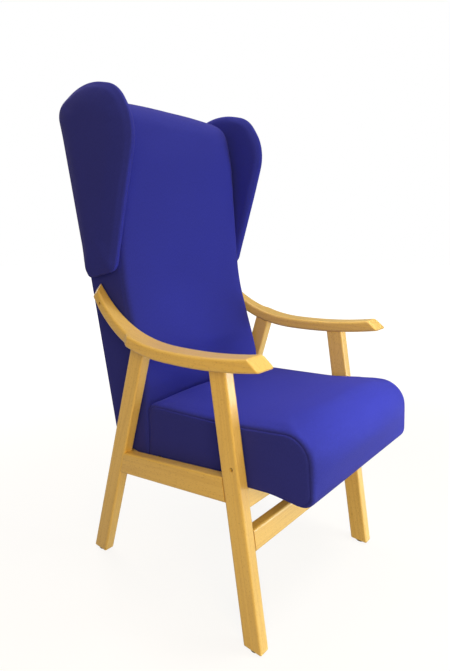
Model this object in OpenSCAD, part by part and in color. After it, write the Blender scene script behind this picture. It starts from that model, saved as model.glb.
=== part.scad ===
// Fireside chair with wings: a beech frame that carries an upholstered seat, back and wings.
// Z is up, the sitter faces -Y and the sitter's left is +X. The origin lies on the floor, under
// the middle of the chair. Side views are drawn with y from the seat's rear end and z from the
// floor, and the whole chair is then moved so that the origin is in its middle.

/* [Legs and rails] */
// Clear width between the left and the right side frame
frame_gap = 466; // [440:1:560]
// Thickness of the legs and the side rails
board_t = 28; // [26:0.5:36]
// Width of a leg, square to its length
leg_w = 46.5; // [42:0.5:56]
// Centre of a front foot, ahead of the seat's rear end
front_foot_ahead = 352; // [340:1:370]
// Centre of a rear foot, behind the seat's rear end
rear_foot_behind = 181; // [170:1:195]
// Lean of the front legs, degrees from upright
front_lean = 9.2; // [7:0.1:11]
// Lean of the rear legs, degrees from upright
rear_lean = 17.4; // [15:0.1:19]
// Depth of a side rail, square to its length
side_rail_h = 55; // [48:0.5:64]
// Height of a side rail's centre line under the seat's rear end
side_rail_z = 297; // [290:1:302]
// Fall of the side rails to the rear, degrees
side_rail_fall = 7.7; // [6:0.1:9]
// Thickness of the three cross rails
cross_rail_t = 28; // [22:0.5:30]
// Depth of the front cross rail
front_rail_h = 46; // [40:1:60]
// Lower edge of the front cross rail, up the leg from the floor
front_rail_low = 209; // [180:1:225]
// Depth of the cross rail under the seat's front
seat_rail_h = 46; // [40:1:47]
// Lower edge of that rail, up the leg from the floor
seat_rail_low = 290; // [284:1:291]
// Depth of the rear cross rail
rear_rail_h = 46; // [40:1:48]
// Lower edge of the rear cross rail, up the leg from the floor
rear_rail_low = 280; // [272:1:282]

/* [Armrests] */
// Width of an armrest
arm_w = 55; // [48:0.5:65]
// Thickness of an armrest
arm_t = 29; // [26:0.5:34]
// How far an armrest stands in over the legs
arm_inset = 2; // [0.5:0.5:3]
// Height of an armrest's top at its lowest point
arm_low_z = 615.5; // [600:0.5:640]
// Place of that lowest point, ahead of the seat's rear end
arm_low_ahead = 120; // [110:1:130]
// Length of an armrest's top, ahead of its lowest point
arm_front_run = 233; // [220:1:250]
// Rise of the top from its lowest point to the front end
arm_front_rise = 19; // [10:0.5:25]
// Length of an armrest's top, behind its lowest point
arm_rear_run = 286; // [280:1:292]
// Rise of the top from its lowest point to the rear tip
arm_rear_rise = 127.5; // [120:0.5:134]
// How far the underside runs on past the top at the front end
arm_nose = 26; // [8:0.5:34]
// Width of an armrest at its rear tip
arm_tip_w = 24; // [20:0.5:32]
// How far the slanted cut at the rear tip takes its outer corner back, along the slope
arm_tip_slant = 24; // [0:0.5:30]
// Where the taper to the rear tip begins, behind the seat's rear end
arm_taper_behind = 2; // [-4:0.5:10]
// Radius of the armrest's corners, seen from the side
arm_corner_r = 3; // [2:0.5:8]

/* [Seat] */
// Depth of the seat along its underside
seat_depth = 472; // [455:1:480]
// Height of the underside at the seat's rear end, above the floor
seat_rear_z = 306; // [304:1:308]
// Rise of the seat to the front, degrees
seat_tilt = 6.2; // [5.6:0.1:6.8]
// Thickness of the seat at its front
seat_front_h = 140; // [125:1:150]
// Thickness of the seat in the hollow behind the front edge
seat_dip_h = 131; // [120:1:136]
// Thickness of the seat at its rear end
seat_rear_h = 147; // [140:1:155]
// Radius of the seat's upper front edge
seat_nose_r = 50; // [30:1:60]
// Radius of the seat's lower front edge
seat_toe_r = 16; // [10:0.5:20]
// Clear width between the seat's side and the leg
seat_clear = 5; // [3:0.5:8]

/* [Back] */
// Length of the back along its rear face
back_h = 870; // [840:1:900]
// Lean of the back, degrees from upright
back_rake = 12.6; // [11.5:0.1:13.5]
// Height of the back's lower rear edge above the floor
back_z = 320; // [314:1:326]
// Thickness of the back at its lower end
back_low_d = 125; // [118:1:130]
// Thickness of the back where the seat meets it
back_seat_d = 158; // [152:1:160]
// Thickness of the back at the hollow above the loins
back_waist_d = 136; // [125:1:145]
// Thickness of the back at the head
back_head_d = 187; // [160:1:200]
// Radius of the upper front edge
back_top_r = 60; // [30:1:75]
// Thickness of the panel that closes the back from behind
back_panel_t = 4; // [3:0.5:5]

/* [Wings] */
// How far the lines of a wing's outline reach above the back
wing_over_back = 31; // [20:0.5:40]
// Depth of a wing at its widest
wing_depth = 268; // [240:1:290]
// Thickness of a wing
wing_t = 34; // [30:0.5:44]
// Clearance from an armrest's rear tip up the back to a wing's lower edge
wing_over_arm = 3.5; // [1:0.1:12]
// How far a wing's rear edge stands ahead of the back's rear face
wing_rear_d = 20; // [12:0.5:24]
// Thickness of a wing's plywood core
wing_board_t = 12; // [9:0.5:15]

/* [Upholstery] */
// Thickness of the covers
cover_t = 2; // [1:0.1:3]
// Thickness of the cloth under the seat
base_cloth_t = 1; // [0.6:0.1:1.5]
// Thickness of the elastic straps
strap_t = 1.2; // [0.8:0.1:2]
// Width of the elastic straps
strap_w = 50; // [40:1:58]
// Number of straps in the seat
seat_strap_count = 5; // [3:1:6]
// Number of straps in the back
back_strap_count = 7; // [4:1:8]
// Room between a soft piece and its neighbour
soft_gap = 0.3; // [0.2:0.05:0.5]

/* [Inner frames] */
// Thickness of the boards of the seat's and the back's frame
member_t = 22; // [18:0.5:26]
// Depth of the seat's frame boards
member_h = 60; // [56:1:66]
// Width of the back's stiles and its lower and upper rail, front to rear
stile_w = 84; // [80:1:88]
// Room between the back's stiles and its rear face
stile_rear_d = 8; // [6:0.5:10]
// Height of the back's lower, lumbar and upper rails
back_rail_h = 56; // [40:1:60]
// Size of the glued corner blocks
corner_block = 34; // [20:1:40]

/* [Fastenings] */
// Diameter of the dowels in the beech frame
dowel_d = 10; // [8:0.5:12]
// Diameter of the dowels in the inner frames and the cross rails
small_dowel_d = 8; // [6:0.5:10]
// Length of a dowel in each of the two pieces that it joins
dowel_reach = 17; // [12:0.5:19]
// Diameter of the bolt shanks
bolt_d = 6; // [5:0.5:8]
// Diameter of the bolt heads
bolt_head_d = 9; // [8:0.5:12]
// Height of the bolt heads
bolt_head_h = 5; // [4:0.5:6]
// How deep the seats of the bolt heads lie in the wood
bolt_sink = 11; // [8:0.5:13]
// Height of the bolts in the front legs above the floor
seat_bolt_z = 387; // [380:1:392]
// How far those bolts stand ahead of the leg's centre line
seat_bolt_ahead = 7; // [0:0.5:10]
// Outer diameter of the threaded inserts
insert_d = 10; // [9:0.5:13]
// Length of the threaded inserts
insert_l = 16; // [10:0.5:18]
// Diameter of the spacing washers
spacer_d = 17; // [14:0.5:19]
// Diameter of the wood screws
screw_d = 5; // [3.5:0.5:6]
// Diameter of the screws' heads
screw_head_d = 9; // [7:0.5:11]
// Height of the screws' heads
screw_head_h = 3; // [2:0.5:4]
// Diameter of the floor glides
glide_d = 24; // [18:0.5:26]
// Height of the floor glides
glide_h = 3; // [2:0.5:6]
// Diameter of the glides' pins
glide_pin_d = 3; // [2:0.5:4]
// Length of the glides' pins
glide_pin_l = 14; // [8:1:20]

/* [Hidden] */
$fn = 48;

beech = [0.85, 0.66, 0.40];
plywood = [0.80, 0.68, 0.50];
blue = [0.16, 0.16, 0.58];
foam_yellow = [0.93, 0.88, 0.66];
strap_black = [0.12, 0.12, 0.13];
steel = [0.62, 0.63, 0.65];
dark = [0.10, 0.10, 0.10];

// How far a cut runs on past the face that it opens
overrun = 1;
// Room round a shank, a dowel or a pin in its hole
hole_gap = 0.1;
// Largest turn of one step along a rounded corner, degrees
arc_step = 12;
// Steps along each half of the armrest's curve
arm_steps = 12;
// Radius of the rounding at a foot
foot_r = 3;

// Faces across the chair, measured from its middle
leg_inner_x = frame_gap / 2;
leg_outer_x = leg_inner_x + board_t;
leg_mid_x = leg_inner_x + board_t / 2;
arm_inner_x = leg_inner_x - arm_inset;
seat_half = leg_inner_x - seat_clear;
cover_in_x = seat_half - cover_t;
member_out_x = cover_in_x - soft_gap;
member_in_x = member_out_x - member_t;

// The seat's outline in its own frame: x ahead of the rear end, y up from the underside
seat_dip_share = 0.58;
seat_rear_r = 12;
seat_heel_r = 5;
seat_dip_r = 900;
seat_outline = rounded(
    [[0, 0], [seat_depth, 0], [seat_depth, seat_front_h],
        [seat_depth * seat_dip_share, seat_dip_h], [seat_rear_h * tan(seat_tilt), seat_rear_h]],
    [seat_heel_r, seat_toe_r, seat_nose_r, seat_dip_r, seat_rear_r]);
seat_foam_outline = inset(seat_outline, cover_t + soft_gap);

// The back's outline in its own frame: x ahead of the rear face, y up along it. Its lower front
// stands upright behind the seat.
back_seat_h = (back_seat_d - back_low_d) / tan(back_rake);
back_waist_share = 0.458;
back_head_share = 0.83;
back_heel_r = 4;
back_toe_r = 10;
back_loin_r = 150;
back_waist_r = 600;
back_head_r = 400;
back_rear_r = 12;
back_outline = rounded(
    [[0, 0], [back_low_d, 0], [back_seat_d, back_seat_h],
        [back_waist_d, back_h * back_waist_share], [back_head_d, back_h * back_head_share],
        [back_head_d, back_h], [0, back_h]],
    [back_heel_r, back_toe_r, back_loin_r, back_waist_r, back_head_r, back_top_r, back_rear_r]);
back_foam_outline = inset(back_outline, cover_t + soft_gap);

// Lower edge of a wing, up the back from the back's lower edge, and the height of its outline
wing_low = (arm_low_z + arm_rear_rise - back_z) / cos(back_rake) + wing_over_arm;
wing_h = back_h + wing_over_back - wing_low;

// A wing's outline in the back's frame, before its corners are rounded, in shares of its depth
// and height. The rounding takes the three upper corners back to that depth and height.
wing_outline_share = [[0, 0], [0.418, 0], [1.048, 0.666], [0.896, 0.897], [0.478, 1.023],
    [0, 0.969]];
wing_radius_share = [0.043, 0.056, 0.28, 0.194, 0.474, 0.097];
wing_outline = rounded(
    [for (share = wing_outline_share)
        [wing_rear_d + share.x * wing_depth, wing_low + share.y * wing_h]],
    wing_radius_share * wing_h);
wing_edge_pad = 14;
wing_inner_pad = 6;
wing_in_x = seat_half + soft_gap;
wing_out_x = wing_in_x + wing_t;
wing_board_x = wing_in_x + wing_inner_pad;
wing_foam_outline = inset(wing_outline, cover_t + soft_gap);
wing_board_outline = inset(wing_outline, wing_edge_pad);
// The raised strip of the wing's core that lies against the stile
wing_strip_w = 46;
wing_strip_share = 0.74;
wing_strip_d = wing_rear_d + wing_edge_pad + wing_inner_pad;
wing_strip_low = wing_low + 2 * wing_edge_pad;
wing_strip_h = wing_h * wing_strip_share;

// The back stands just behind the seat, with its lower front upright there
back_room = 1;
back_y = back_room + back_low_d * cos(back_rake);

// The middle of the chair from front to rear
seat_front_y = -(seat_depth - seat_toe_r) * cos(seat_tilt) + seat_toe_r * (sin(seat_tilt) - 1);
panel_edge = 3;
panel_rear_y = back_y + (back_h - panel_edge) * sin(back_rake);
mid_y = (seat_front_y + panel_rear_y) / 2;

// The armrest's top, from its front end over its lowest point to its rear tip
arm_front_share = [[-1, 1], [-0.665, 0.24], [-0.34, 0], [0, 0]];
arm_rear_share = [[0, 0], [0.42, 0], [0.734, 0.31], [1, 1]];
arm_low = [-arm_low_ahead, arm_low_z];
arm_front_points = [for (share = arm_front_share)
    arm_low + [share.x * arm_front_run, share.y * arm_front_rise]];
arm_rear_points = [for (share = arm_rear_share)
    arm_low + [share.x * arm_rear_run, share.y * arm_rear_rise]];
arm_top = concat(
    [for (i = [0 : arm_steps]) bezier(arm_front_points, i / arm_steps)],
    [for (i = [1 : arm_steps]) bezier(arm_rear_points, i / arm_steps)]);
arm_under = beside(arm_top, arm_t);
arm_nose_point = arm_under[0] - arm_nose * unit(arm_top[1] - arm_top[0]);
arm_end = len(arm_top) - 1;
arm_outline = rounded(
    concat([arm_nose_point], [for (i = [1 : arm_end]) arm_under[i]],
        [for (i = [arm_end : -1 : 0]) arm_top[i]]),
    [for (i = [0 : 2 * arm_end + 1])
        i == 0 || i == arm_end || i == arm_end + 1 || i == 2 * arm_end + 1 ? arm_corner_r : 0]);
arm_roof_z = arm_low_z + arm_rear_rise + arm_t;
arm_tip_y = arm_under[arm_end].x;
arm_bolt_share = 0.83;
arm_bolt = bezier(arm_rear_points, arm_bolt_share) + arm_t / 2 * right_of(
    bezier(arm_rear_points, 1) - bezier(arm_rear_points, arm_bolt_share));

// Bolt and screw places in the frames of the seat and the back
seat_bolt_y = leg_y(-front_foot_ahead, front_lean, seat_bolt_z) - seat_bolt_ahead;
seat_bolt_place = to_tilted([seat_bolt_y, seat_bolt_z], [0, seat_rear_z], seat_tilt);
arm_bolt_place = to_tilted(arm_bolt, [back_y, back_z], back_rake);
back_bolt_share = [0.51, 0.4];
back_bolt_place = [stile_rear_d + back_bolt_share.x * stile_w, back_bolt_share.y * back_rail_h];
seat_screw_room = 9;
seat_screw_share = 0.42;
seat_screw_v = 11;
wing_screw_share = [0.1, 0.5, 0.9];

// How far a screw reaches into a side rail, and into a wing's core
screw_reach = 18;
wing_screw_reach = 14;
// Diameter of a bolt's plain hole
washer_hole_d = bolt_d + 2 * hole_gap;
// Width of the hexagon in a bolt's head, as a share of the shank's diameter
socket_share = 0.67;
// Places of the dowels along a joint
dowel_shares = [0.25, 0.75];
// Places of the dowels of the cross rail under the seat, clear of the side rails' dowels
seat_rail_dowel_shares = [0.17, 0.47];

// Direction and rotation helpers
function unit(v) = v / norm(v);
function left_of(v) = unit([-v.y, v.x]);
function right_of(v) = unit([v.y, -v.x]);

// Point at share t of a cubic curve through its four points
function bezier(p, t) = pow(1 - t, 3) * p[0] + 3 * pow(1 - t, 2) * t * p[1]
    + 3 * (1 - t) * t * t * p[2] + t * t * t * p[3];

// A line of points at distance t to the right of another
function beside(points, t) = [for (i = [0 : len(points) - 1])
    points[i] + t * right_of(points[min(i + 1, len(points) - 1)] - points[max(i - 1, 0)])];

// Points of an arc of radius r in the corner at b, between the sides to a and to c
function corner(a, b, c, r) =
    let (
        u = unit(a - b),
        v = unit(c - b),
        half = acos(u * v) / 2,
        centre = b + unit(u + v) * r / sin(half),
        first = b + u * r / tan(half) - centre,
        last = b + v * r / tan(half) - centre,
        start = atan2(first.y, first.x),
        turn = atan2(first.x * last.y - first.y * last.x, first * last),
        steps = max(2, ceil(abs(turn) / arc_step))
    )
    [for (i = [0 : steps])
        centre + r * [cos(start + turn * i / steps), sin(start + turn * i / steps)]];

// A closed outline with each of its corners rounded by its own radius
function rounded(points, radii) =
    let (count = len(points))
    [for (i = [0 : count - 1])
        each radii[i] == 0 ? [points[i]]
            : corner(points[(i + count - 1) % count], points[i], points[(i + 1) % count], radii[i])];

// An outline drawn anticlockwise, moved in by t
function inset(points, t) =
    let (count = len(points))
    [for (i = [0 : count - 1])
        let (
            before = left_of(points[i] - points[(i + count - 1) % count]),
            after = left_of(points[(i + 1) % count] - points[i]),
            middle = unit(before + after)
        )
        points[i] + middle * t / (middle * before)];

// A point of the side view in a tilted frame: x ahead of its origin, y up
function to_tilted(p, origin, tilt) =
    let (q = p - origin)
    [-q.x * cos(tilt) + q.y * sin(tilt), q.x * sin(tilt) + q.y * cos(tilt)];

// Centre of a leg at height z, for a leg that leans to the rear as it rises
function leg_y(foot_y, lean, z) = foot_y + z * tan(lean);

// Where two lines of the side view meet, each given by a point and a direction
function meet(p, v, q, w) = p + v * ((q.x - p.x) * w.y - (q.y - p.y) * w.x) / (v.x * w.y - v.y * w.x);

// Board of the side view, from x to x + width
module board(x, width, outline) {
    translate([x, 0, 0]) rotate([90, 0, 90]) linear_extrude(width) polygon(outline);
}

// Board of a tilted frame, whose outline is drawn with x ahead
module ahead_board(x, width, outline) {
    board(x, width, [for (p = outline) [-p.x, p.y]]);
}

// Rod along x, from x to x + length, at a place of a tilted frame
module ahead_rod(x, length, place, d) {
    translate([x, -place.x, place.y]) rotate([0, 90, 0]) cylinder(d = d, h = length);
}

// The chair's own place over the origin
module stand() {
    translate([0, -mid_y, 0]) children();
}

module in_seat() {
    translate([0, 0, seat_rear_z]) rotate([-seat_tilt, 0, 0]) children();
}

module in_back() {
    translate([0, back_y, back_z]) rotate([-back_rake, 0, 0]) children();
}

// A leg's frame: z up along the leg from the floor, y square to it
module in_leg(foot_y, lean) {
    translate([0, foot_y, 0]) rotate([-lean, 0, 0]) children();
}

module both_sides() {
    children();
    mirror([1, 0, 0]) children();
}

// A bolt along x: its head ends at x, and its shank runs length towards the chair's middle
module bolt(x, length, place) {
    ahead_rod(x - length, length + overrun, place, bolt_d);
    difference() {
        ahead_rod(x, bolt_head_h, place, bolt_head_d);
        translate([x + bolt_head_h / 2, -place.x, place.y]) rotate([0, 90, 0])
            cylinder(d = bolt_d * socket_share, h = bolt_head_h, $fn = 6);
    }
}

// A threaded insert or a spacing washer along x, from x to x + length
module ring(x, length, place, outer_d) {
    difference() {
        ahead_rod(x, length, place, outer_d);
        ahead_rod(x - overrun, length + 2 * overrun, place, washer_hole_d);
    }
}

// Outline of a leg, from above its glide to inside the armrest
function leg_outline(foot_y, lean) =
    let (
        half = leg_w / 2 / cos(lean),
        top = arm_low_z + arm_t,
        low = leg_y(foot_y, lean, glide_h),
        high = leg_y(foot_y, lean, top)
    )
    rounded([[low - half, glide_h], [low + half, glide_h], [high + half, top], [high - half, top]],
        [foot_r, foot_r, 0, 0]);

// Everything above the armrest's underside
arm_roof = concat([arm_nose_point], [for (i = [1 : arm_end]) arm_under[i]],
    [[arm_tip_y, arm_roof_z], [arm_nose_point.x, arm_roof_z]]);

// Where a leg's centre line meets the armrest's underside
function leg_top(foot_y, lean) =
    let (
        crossing = [for (i = [0 : arm_end - 1])
            let (p = meet([foot_y, 0], [sin(lean), cos(lean)], arm_under[i],
                arm_under[i + 1] - arm_under[i]))
            if (p.x >= arm_under[i].x && p.x < arm_under[i + 1].x) p]
    )
    crossing[0];

// The two dowels between a leg and the armrest
module arm_dowel_pair(foot_y, lean, gap) {
    top = leg_top(foot_y, lean);
    for (side = [-1, 1])
        translate([leg_mid_x, top.x, top.y]) rotate([-lean, 0, 0])
            translate([0, side * leg_w / 4, -dowel_reach - gap])
                cylinder(d = dowel_d + 2 * gap, h = 2 * (dowel_reach + gap));
}

// The side rail's direction and the ends of its centre line on the legs' edges
rail_run = [cos(side_rail_fall), -sin(side_rail_fall)];
rail_up = [sin(side_rail_fall), cos(side_rail_fall)];
front_edge = [-front_foot_ahead + leg_w / 2 / cos(front_lean), 0];
rear_edge = [rear_foot_behind - leg_w / 2 / cos(rear_lean), 0];
function rail_front(offset) = meet([0, side_rail_z] + offset * rail_up, rail_run,
    front_edge, [sin(front_lean), cos(front_lean)]);
function rail_rear(offset) = meet([0, side_rail_z] + offset * rail_up, rail_run,
    rear_edge, [-sin(rear_lean), cos(rear_lean)]);

// The dowels between a side rail and its two legs
module side_rail_dowel_set(gap) {
    for (offset = [-side_rail_h / 4, side_rail_h / 4])
        for (end = [rail_front(offset), rail_rear(offset)])
            translate([leg_mid_x, end.x, end.y]) rotate([-90 - side_rail_fall, 0, 0])
                translate([0, 0, -dowel_reach - gap])
                    cylinder(d = dowel_d + 2 * gap, h = 2 * (dowel_reach + gap));
}

// The dowels at one end of a cross rail, in the leg's frame
module cross_rail_dowel_pair(mid_depth, low, height, shares, gap) {
    for (share = shares)
        translate([leg_inner_x - dowel_reach - gap, mid_depth, low + height * share])
            rotate([0, 90, 0])
                cylinder(d = small_dowel_d + 2 * gap, h = 2 * (dowel_reach + gap));
}

// The middle of each cross rail's thickness, in its leg's frame: the front rail is level with
// the legs' front edges, and the rail under the seat with their rear edges
front_rail_y = -(leg_w - cross_rail_t) / 2;
seat_rail_y = (leg_w - cross_rail_t) / 2;
rear_rail_y = 0;

module cross_rail_dowel_set(gap) {
    in_leg(-front_foot_ahead, front_lean) {
        cross_rail_dowel_pair(front_rail_y, front_rail_low, front_rail_h, dowel_shares, gap);
        cross_rail_dowel_pair(seat_rail_y, seat_rail_low, seat_rail_h, seat_rail_dowel_shares,
            gap);
    }
    in_leg(rear_foot_behind, -rear_lean)
        cross_rail_dowel_pair(rear_rail_y, rear_rail_low, rear_rail_h, dowel_shares, gap);
}

module glide_pin(foot_y, lean, gap) {
    translate([leg_mid_x, leg_y(foot_y, lean, glide_h), glide_h / 2])
        cylinder(d = glide_pin_d + 2 * gap, h = glide_h / 2 + glide_pin_l + gap);
}

// The bolt in the rear leg that holds the back's lower end, in the back's frame
module back_bolt_hole(x, length, d) {
    in_back() ahead_rod(x, length, back_bolt_place, d);
}

module armrest() {
    difference() {
        intersection() {
            board(arm_inner_x, arm_w, arm_outline);
            translate([0, 0, arm_low_z - arm_t - overrun])
                linear_extrude(arm_rear_rise + 2 * arm_t + 2 * overrun)
                    polygon(arm_plan);
        }
        arm_tip_cut();
        arm_dowel_pair(-front_foot_ahead, front_lean, hole_gap);
        arm_dowel_pair(rear_foot_behind, -rear_lean, hole_gap);
        in_back() {
            ahead_rod(arm_inner_x - overrun, arm_w, arm_bolt_place, washer_hole_d);
            ahead_rod(arm_head_x, arm_w, arm_bolt_place, bolt_head_d + 2 * hole_gap);
        }
    }
}

// The armrest seen from above: straight, then tapered on its outer side to the rear tip
arm_outer_x = arm_inner_x + arm_w;
arm_plan = [[arm_inner_x, arm_nose_point.x - overrun], [arm_outer_x, arm_nose_point.x - overrun],
    [arm_outer_x, arm_taper_behind], [arm_inner_x + arm_tip_w, arm_tip_y + overrun],
    [arm_inner_x, arm_tip_y + overrun]];

// The slanted cut at the rear tip, square to the armrest's top
module arm_tip_cut() {
    tip = arm_top[arm_end];
    run = tip - arm_top[arm_end - 1];
    translate([arm_inner_x, tip.x, tip.y]) rotate([atan2(run.y, run.x), 0, 0])
        translate([0, 0, -arm_t - overrun]) linear_extrude(arm_t + 2 * overrun)
            polygon([[0, 0], [arm_w, -arm_tip_slant * arm_w / arm_tip_w], [arm_w, overrun],
                [0, overrun]]);
}

// Where the arm bolt's head seats
arm_head_x = arm_inner_x + arm_tip_w / 2;

module front_leg() {
    difference() {
        board(leg_inner_x, board_t, leg_outline(-front_foot_ahead, front_lean));
        board(leg_inner_x - overrun, board_t + 2 * overrun, arm_roof);
        arm_dowel_pair(-front_foot_ahead, front_lean, hole_gap);
        side_rail_dowel_set(hole_gap);
        cross_rail_dowel_set(hole_gap);
        glide_pin(-front_foot_ahead, front_lean, hole_gap);
        in_seat() {
            ahead_rod(leg_inner_x - overrun, board_t, seat_bolt_place, washer_hole_d);
            ahead_rod(leg_outer_x - bolt_sink, bolt_sink + overrun, seat_bolt_place,
                bolt_head_d + 2 * hole_gap);
        }
    }
}

module rear_leg() {
    difference() {
        board(leg_inner_x, board_t, leg_outline(rear_foot_behind, -rear_lean));
        board(leg_inner_x - overrun, board_t + 2 * overrun, arm_roof);
        arm_dowel_pair(rear_foot_behind, -rear_lean, hole_gap);
        side_rail_dowel_set(hole_gap);
        cross_rail_dowel_set(hole_gap);
        glide_pin(rear_foot_behind, -rear_lean, hole_gap);
        back_bolt_hole(leg_inner_x - overrun, insert_l + overrun + hole_gap,
            insert_d + 2 * hole_gap);
    }
}

module side_rail() {
    half = side_rail_h / 2;
    difference() {
        board(leg_inner_x, board_t,
            [rail_front(-half), rail_rear(-half), rail_rear(half), rail_front(half)]);
        side_rail_dowel_set(hole_gap);
        in_seat()
            for (place = seat_screw_places)
                ahead_rod(leg_inner_x - overrun, screw_reach + overrun + hole_gap, place,
                    screw_d + 2 * hole_gap);
    }
}

module armrest_left() {
    color(beech) stand() armrest();
}

module armrest_right() {
    color(beech) stand() mirror([1, 0, 0]) armrest();
}

module front_leg_left() {
    color(beech) stand() front_leg();
}

module front_leg_right() {
    color(beech) stand() mirror([1, 0, 0]) front_leg();
}

module rear_leg_left() {
    color(beech) stand() rear_leg();
}

module rear_leg_right() {
    color(beech) stand() mirror([1, 0, 0]) rear_leg();
}

module side_rail_left() {
    color(beech) stand() side_rail();
}

module side_rail_right() {
    color(beech) stand() mirror([1, 0, 0]) side_rail();
}

// A cross rail between two legs, in their frame
module cross_rail(foot_y, lean, mid_depth, low, height) {
    color(beech) stand() difference() {
        in_leg(foot_y, lean)
            translate([-leg_inner_x, mid_depth - cross_rail_t / 2, low])
                cube([frame_gap, cross_rail_t, height]);
        both_sides() cross_rail_dowel_set(hole_gap);
    }
}

module front_cross_rail() {
    cross_rail(-front_foot_ahead, front_lean, front_rail_y, front_rail_low, front_rail_h);
}

module seat_cross_rail() {
    cross_rail(-front_foot_ahead, front_lean, seat_rail_y, seat_rail_low, seat_rail_h);
}

module rear_cross_rail() {
    cross_rail(rear_foot_behind, -rear_lean, rear_rail_y, rear_rail_low, rear_rail_h);
}

module arm_dowels() {
    color(beech) stand() both_sides() {
        arm_dowel_pair(-front_foot_ahead, front_lean, 0);
        arm_dowel_pair(rear_foot_behind, -rear_lean, 0);
    }
}

module side_rail_dowels() {
    color(beech) stand() both_sides() side_rail_dowel_set(0);
}

module cross_rail_dowels() {
    color(beech) stand() both_sides() cross_rail_dowel_set(0);
}

module floor_glides() {
    color(dark) stand() both_sides()
        for (leg = [[-front_foot_ahead, front_lean], [rear_foot_behind, -rear_lean]]) {
            translate([leg_mid_x, leg_y(leg[0], leg[1], glide_h), 0])
                cylinder(d = glide_d, h = glide_h);
            glide_pin(leg[0], leg[1], 0);
        }
}

// Places along the seat's frame: the rear board's rear face and the front board's front face
seat_frame_rear = cover_t + member_h * tan(seat_tilt) + seat_heel_r;
seat_frame_front = seat_depth - seat_toe_r;

// One screw lies just ahead of the seat's rear board, and one further to the front
seat_screw_places = [[seat_frame_rear + member_t + seat_screw_room, seat_screw_v],
    [seat_depth * seat_screw_share, seat_screw_v]];

// A board of the seat's frame between two depths, from x to x + width
module seat_member(x, width, rear, front) {
    in_seat() translate([x, -front, 0]) cube([width, front - rear, member_h]);
}

// The dowels between the seat's side boards and its front and rear boards
module seat_frame_dowel_set(gap) {
    in_seat()
        for (mid = [seat_frame_rear + member_t / 2, seat_frame_front - member_t / 2])
            for (share = dowel_shares)
                ahead_rod(member_in_x - dowel_reach - gap, 2 * (dowel_reach + gap),
                    [mid, member_h * share], small_dowel_d + 2 * gap);
}

module seat_side_member() {
    difference() {
        seat_member(member_in_x, member_t, seat_frame_rear, seat_frame_front);
        seat_frame_dowel_set(hole_gap);
        in_seat() {
            ahead_rod(member_out_x - insert_l - hole_gap, insert_l + hole_gap + overrun,
                seat_bolt_place, insert_d + 2 * hole_gap);
            ahead_rod(member_in_x - overrun, member_t, seat_bolt_place, washer_hole_d);
            for (place = seat_screw_places)
                ahead_rod(member_in_x - overrun, member_t + 2 * overrun, place,
                    screw_d + 2 * hole_gap);
        }
    }
}

module seat_side_member_left() {
    color(plywood) stand() seat_side_member();
}

module seat_side_member_right() {
    color(plywood) stand() mirror([1, 0, 0]) seat_side_member();
}

module seat_front_member() {
    color(plywood) stand() difference() {
        seat_member(-member_in_x, 2 * member_in_x, seat_frame_front - member_t, seat_frame_front);
        both_sides() seat_frame_dowel_set(hole_gap);
    }
}

module seat_rear_member() {
    color(plywood) stand() difference() {
        seat_member(-member_in_x, 2 * member_in_x, seat_frame_rear, seat_frame_rear + member_t);
        both_sides() seat_frame_dowel_set(hole_gap);
    }
}

module seat_frame_dowels() {
    color(beech) stand() both_sides() seat_frame_dowel_set(0);
}

// A three-cornered block in a corner of the seat's frame
module seat_corner_block(depth, side) {
    block_h = member_h / 2;
    translate([member_in_x, -depth, member_h - block_h]) linear_extrude(block_h)
        polygon([[0, 0], [-corner_block, 0], [0, -side * corner_block]]);
}

module seat_corner_blocks() {
    color(plywood) stand() both_sides() in_seat() {
        seat_corner_block(seat_frame_rear + member_t, 1);
        seat_corner_block(seat_frame_front - member_t, -1);
    }
}

module seat_webbing() {
    first = seat_frame_rear + member_t;
    pitch = (seat_frame_front - member_t - first) / seat_strap_count;
    color(strap_black) stand() in_seat()
        for (i = [0 : seat_strap_count - 1])
            translate([-member_out_x, -first - pitch * (i + 0.5) - strap_w / 2, member_h])
                cube([2 * member_out_x, strap_w, strap_t]);
}

// Room that the seat's frame and straps take out of the foam
seat_core_outline = [[-overrun, -overrun], [seat_frame_front + soft_gap, -overrun],
    [seat_frame_front + soft_gap, member_h + strap_t + soft_gap],
    [-overrun, member_h + strap_t + soft_gap]];

module seat_foam() {
    color(foam_yellow) stand() in_seat() difference() {
        ahead_board(-member_out_x, 2 * member_out_x, seat_foam_outline);
        ahead_board(-seat_half, 2 * seat_half, seat_core_outline);
    }
}

// The opening in the cover under the seat
seat_opening_outline = [[seat_heel_r + cover_t, -overrun], [seat_frame_front, -overrun],
    [seat_frame_front, cover_t + overrun], [seat_heel_r + cover_t, cover_t + overrun]];

module seat_cover_top() {
    color(blue) stand() in_seat() difference() {
        ahead_board(-cover_in_x, 2 * cover_in_x, seat_outline);
        ahead_board(-seat_half, 2 * seat_half, inset(seat_outline, cover_t));
        ahead_board(-seat_half, 2 * seat_half, seat_opening_outline);
    }
}

module seat_cover_side() {
    in_seat() difference() {
        ahead_board(cover_in_x, cover_t, seat_outline);
        for (place = concat([seat_bolt_place], seat_screw_places))
            ahead_rod(cover_in_x - overrun, cover_t + 2 * overrun, place, washer_hole_d);
    }
}

module seat_cover_side_left() {
    color(blue) stand() seat_cover_side();
}

module seat_cover_side_right() {
    color(blue) stand() mirror([1, 0, 0]) seat_cover_side();
}

module seat_base_cloth() {
    color(dark) stand() in_seat()
        translate([-cover_in_x, -seat_frame_front, -base_cloth_t])
            cube([2 * cover_in_x, seat_frame_front - seat_heel_r, base_cloth_t]);
}

stile_foot = back_heel_r + cover_t;
stile_top = back_h - back_rear_r - cover_t;
lumbar_low = back_seat_h;

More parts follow.
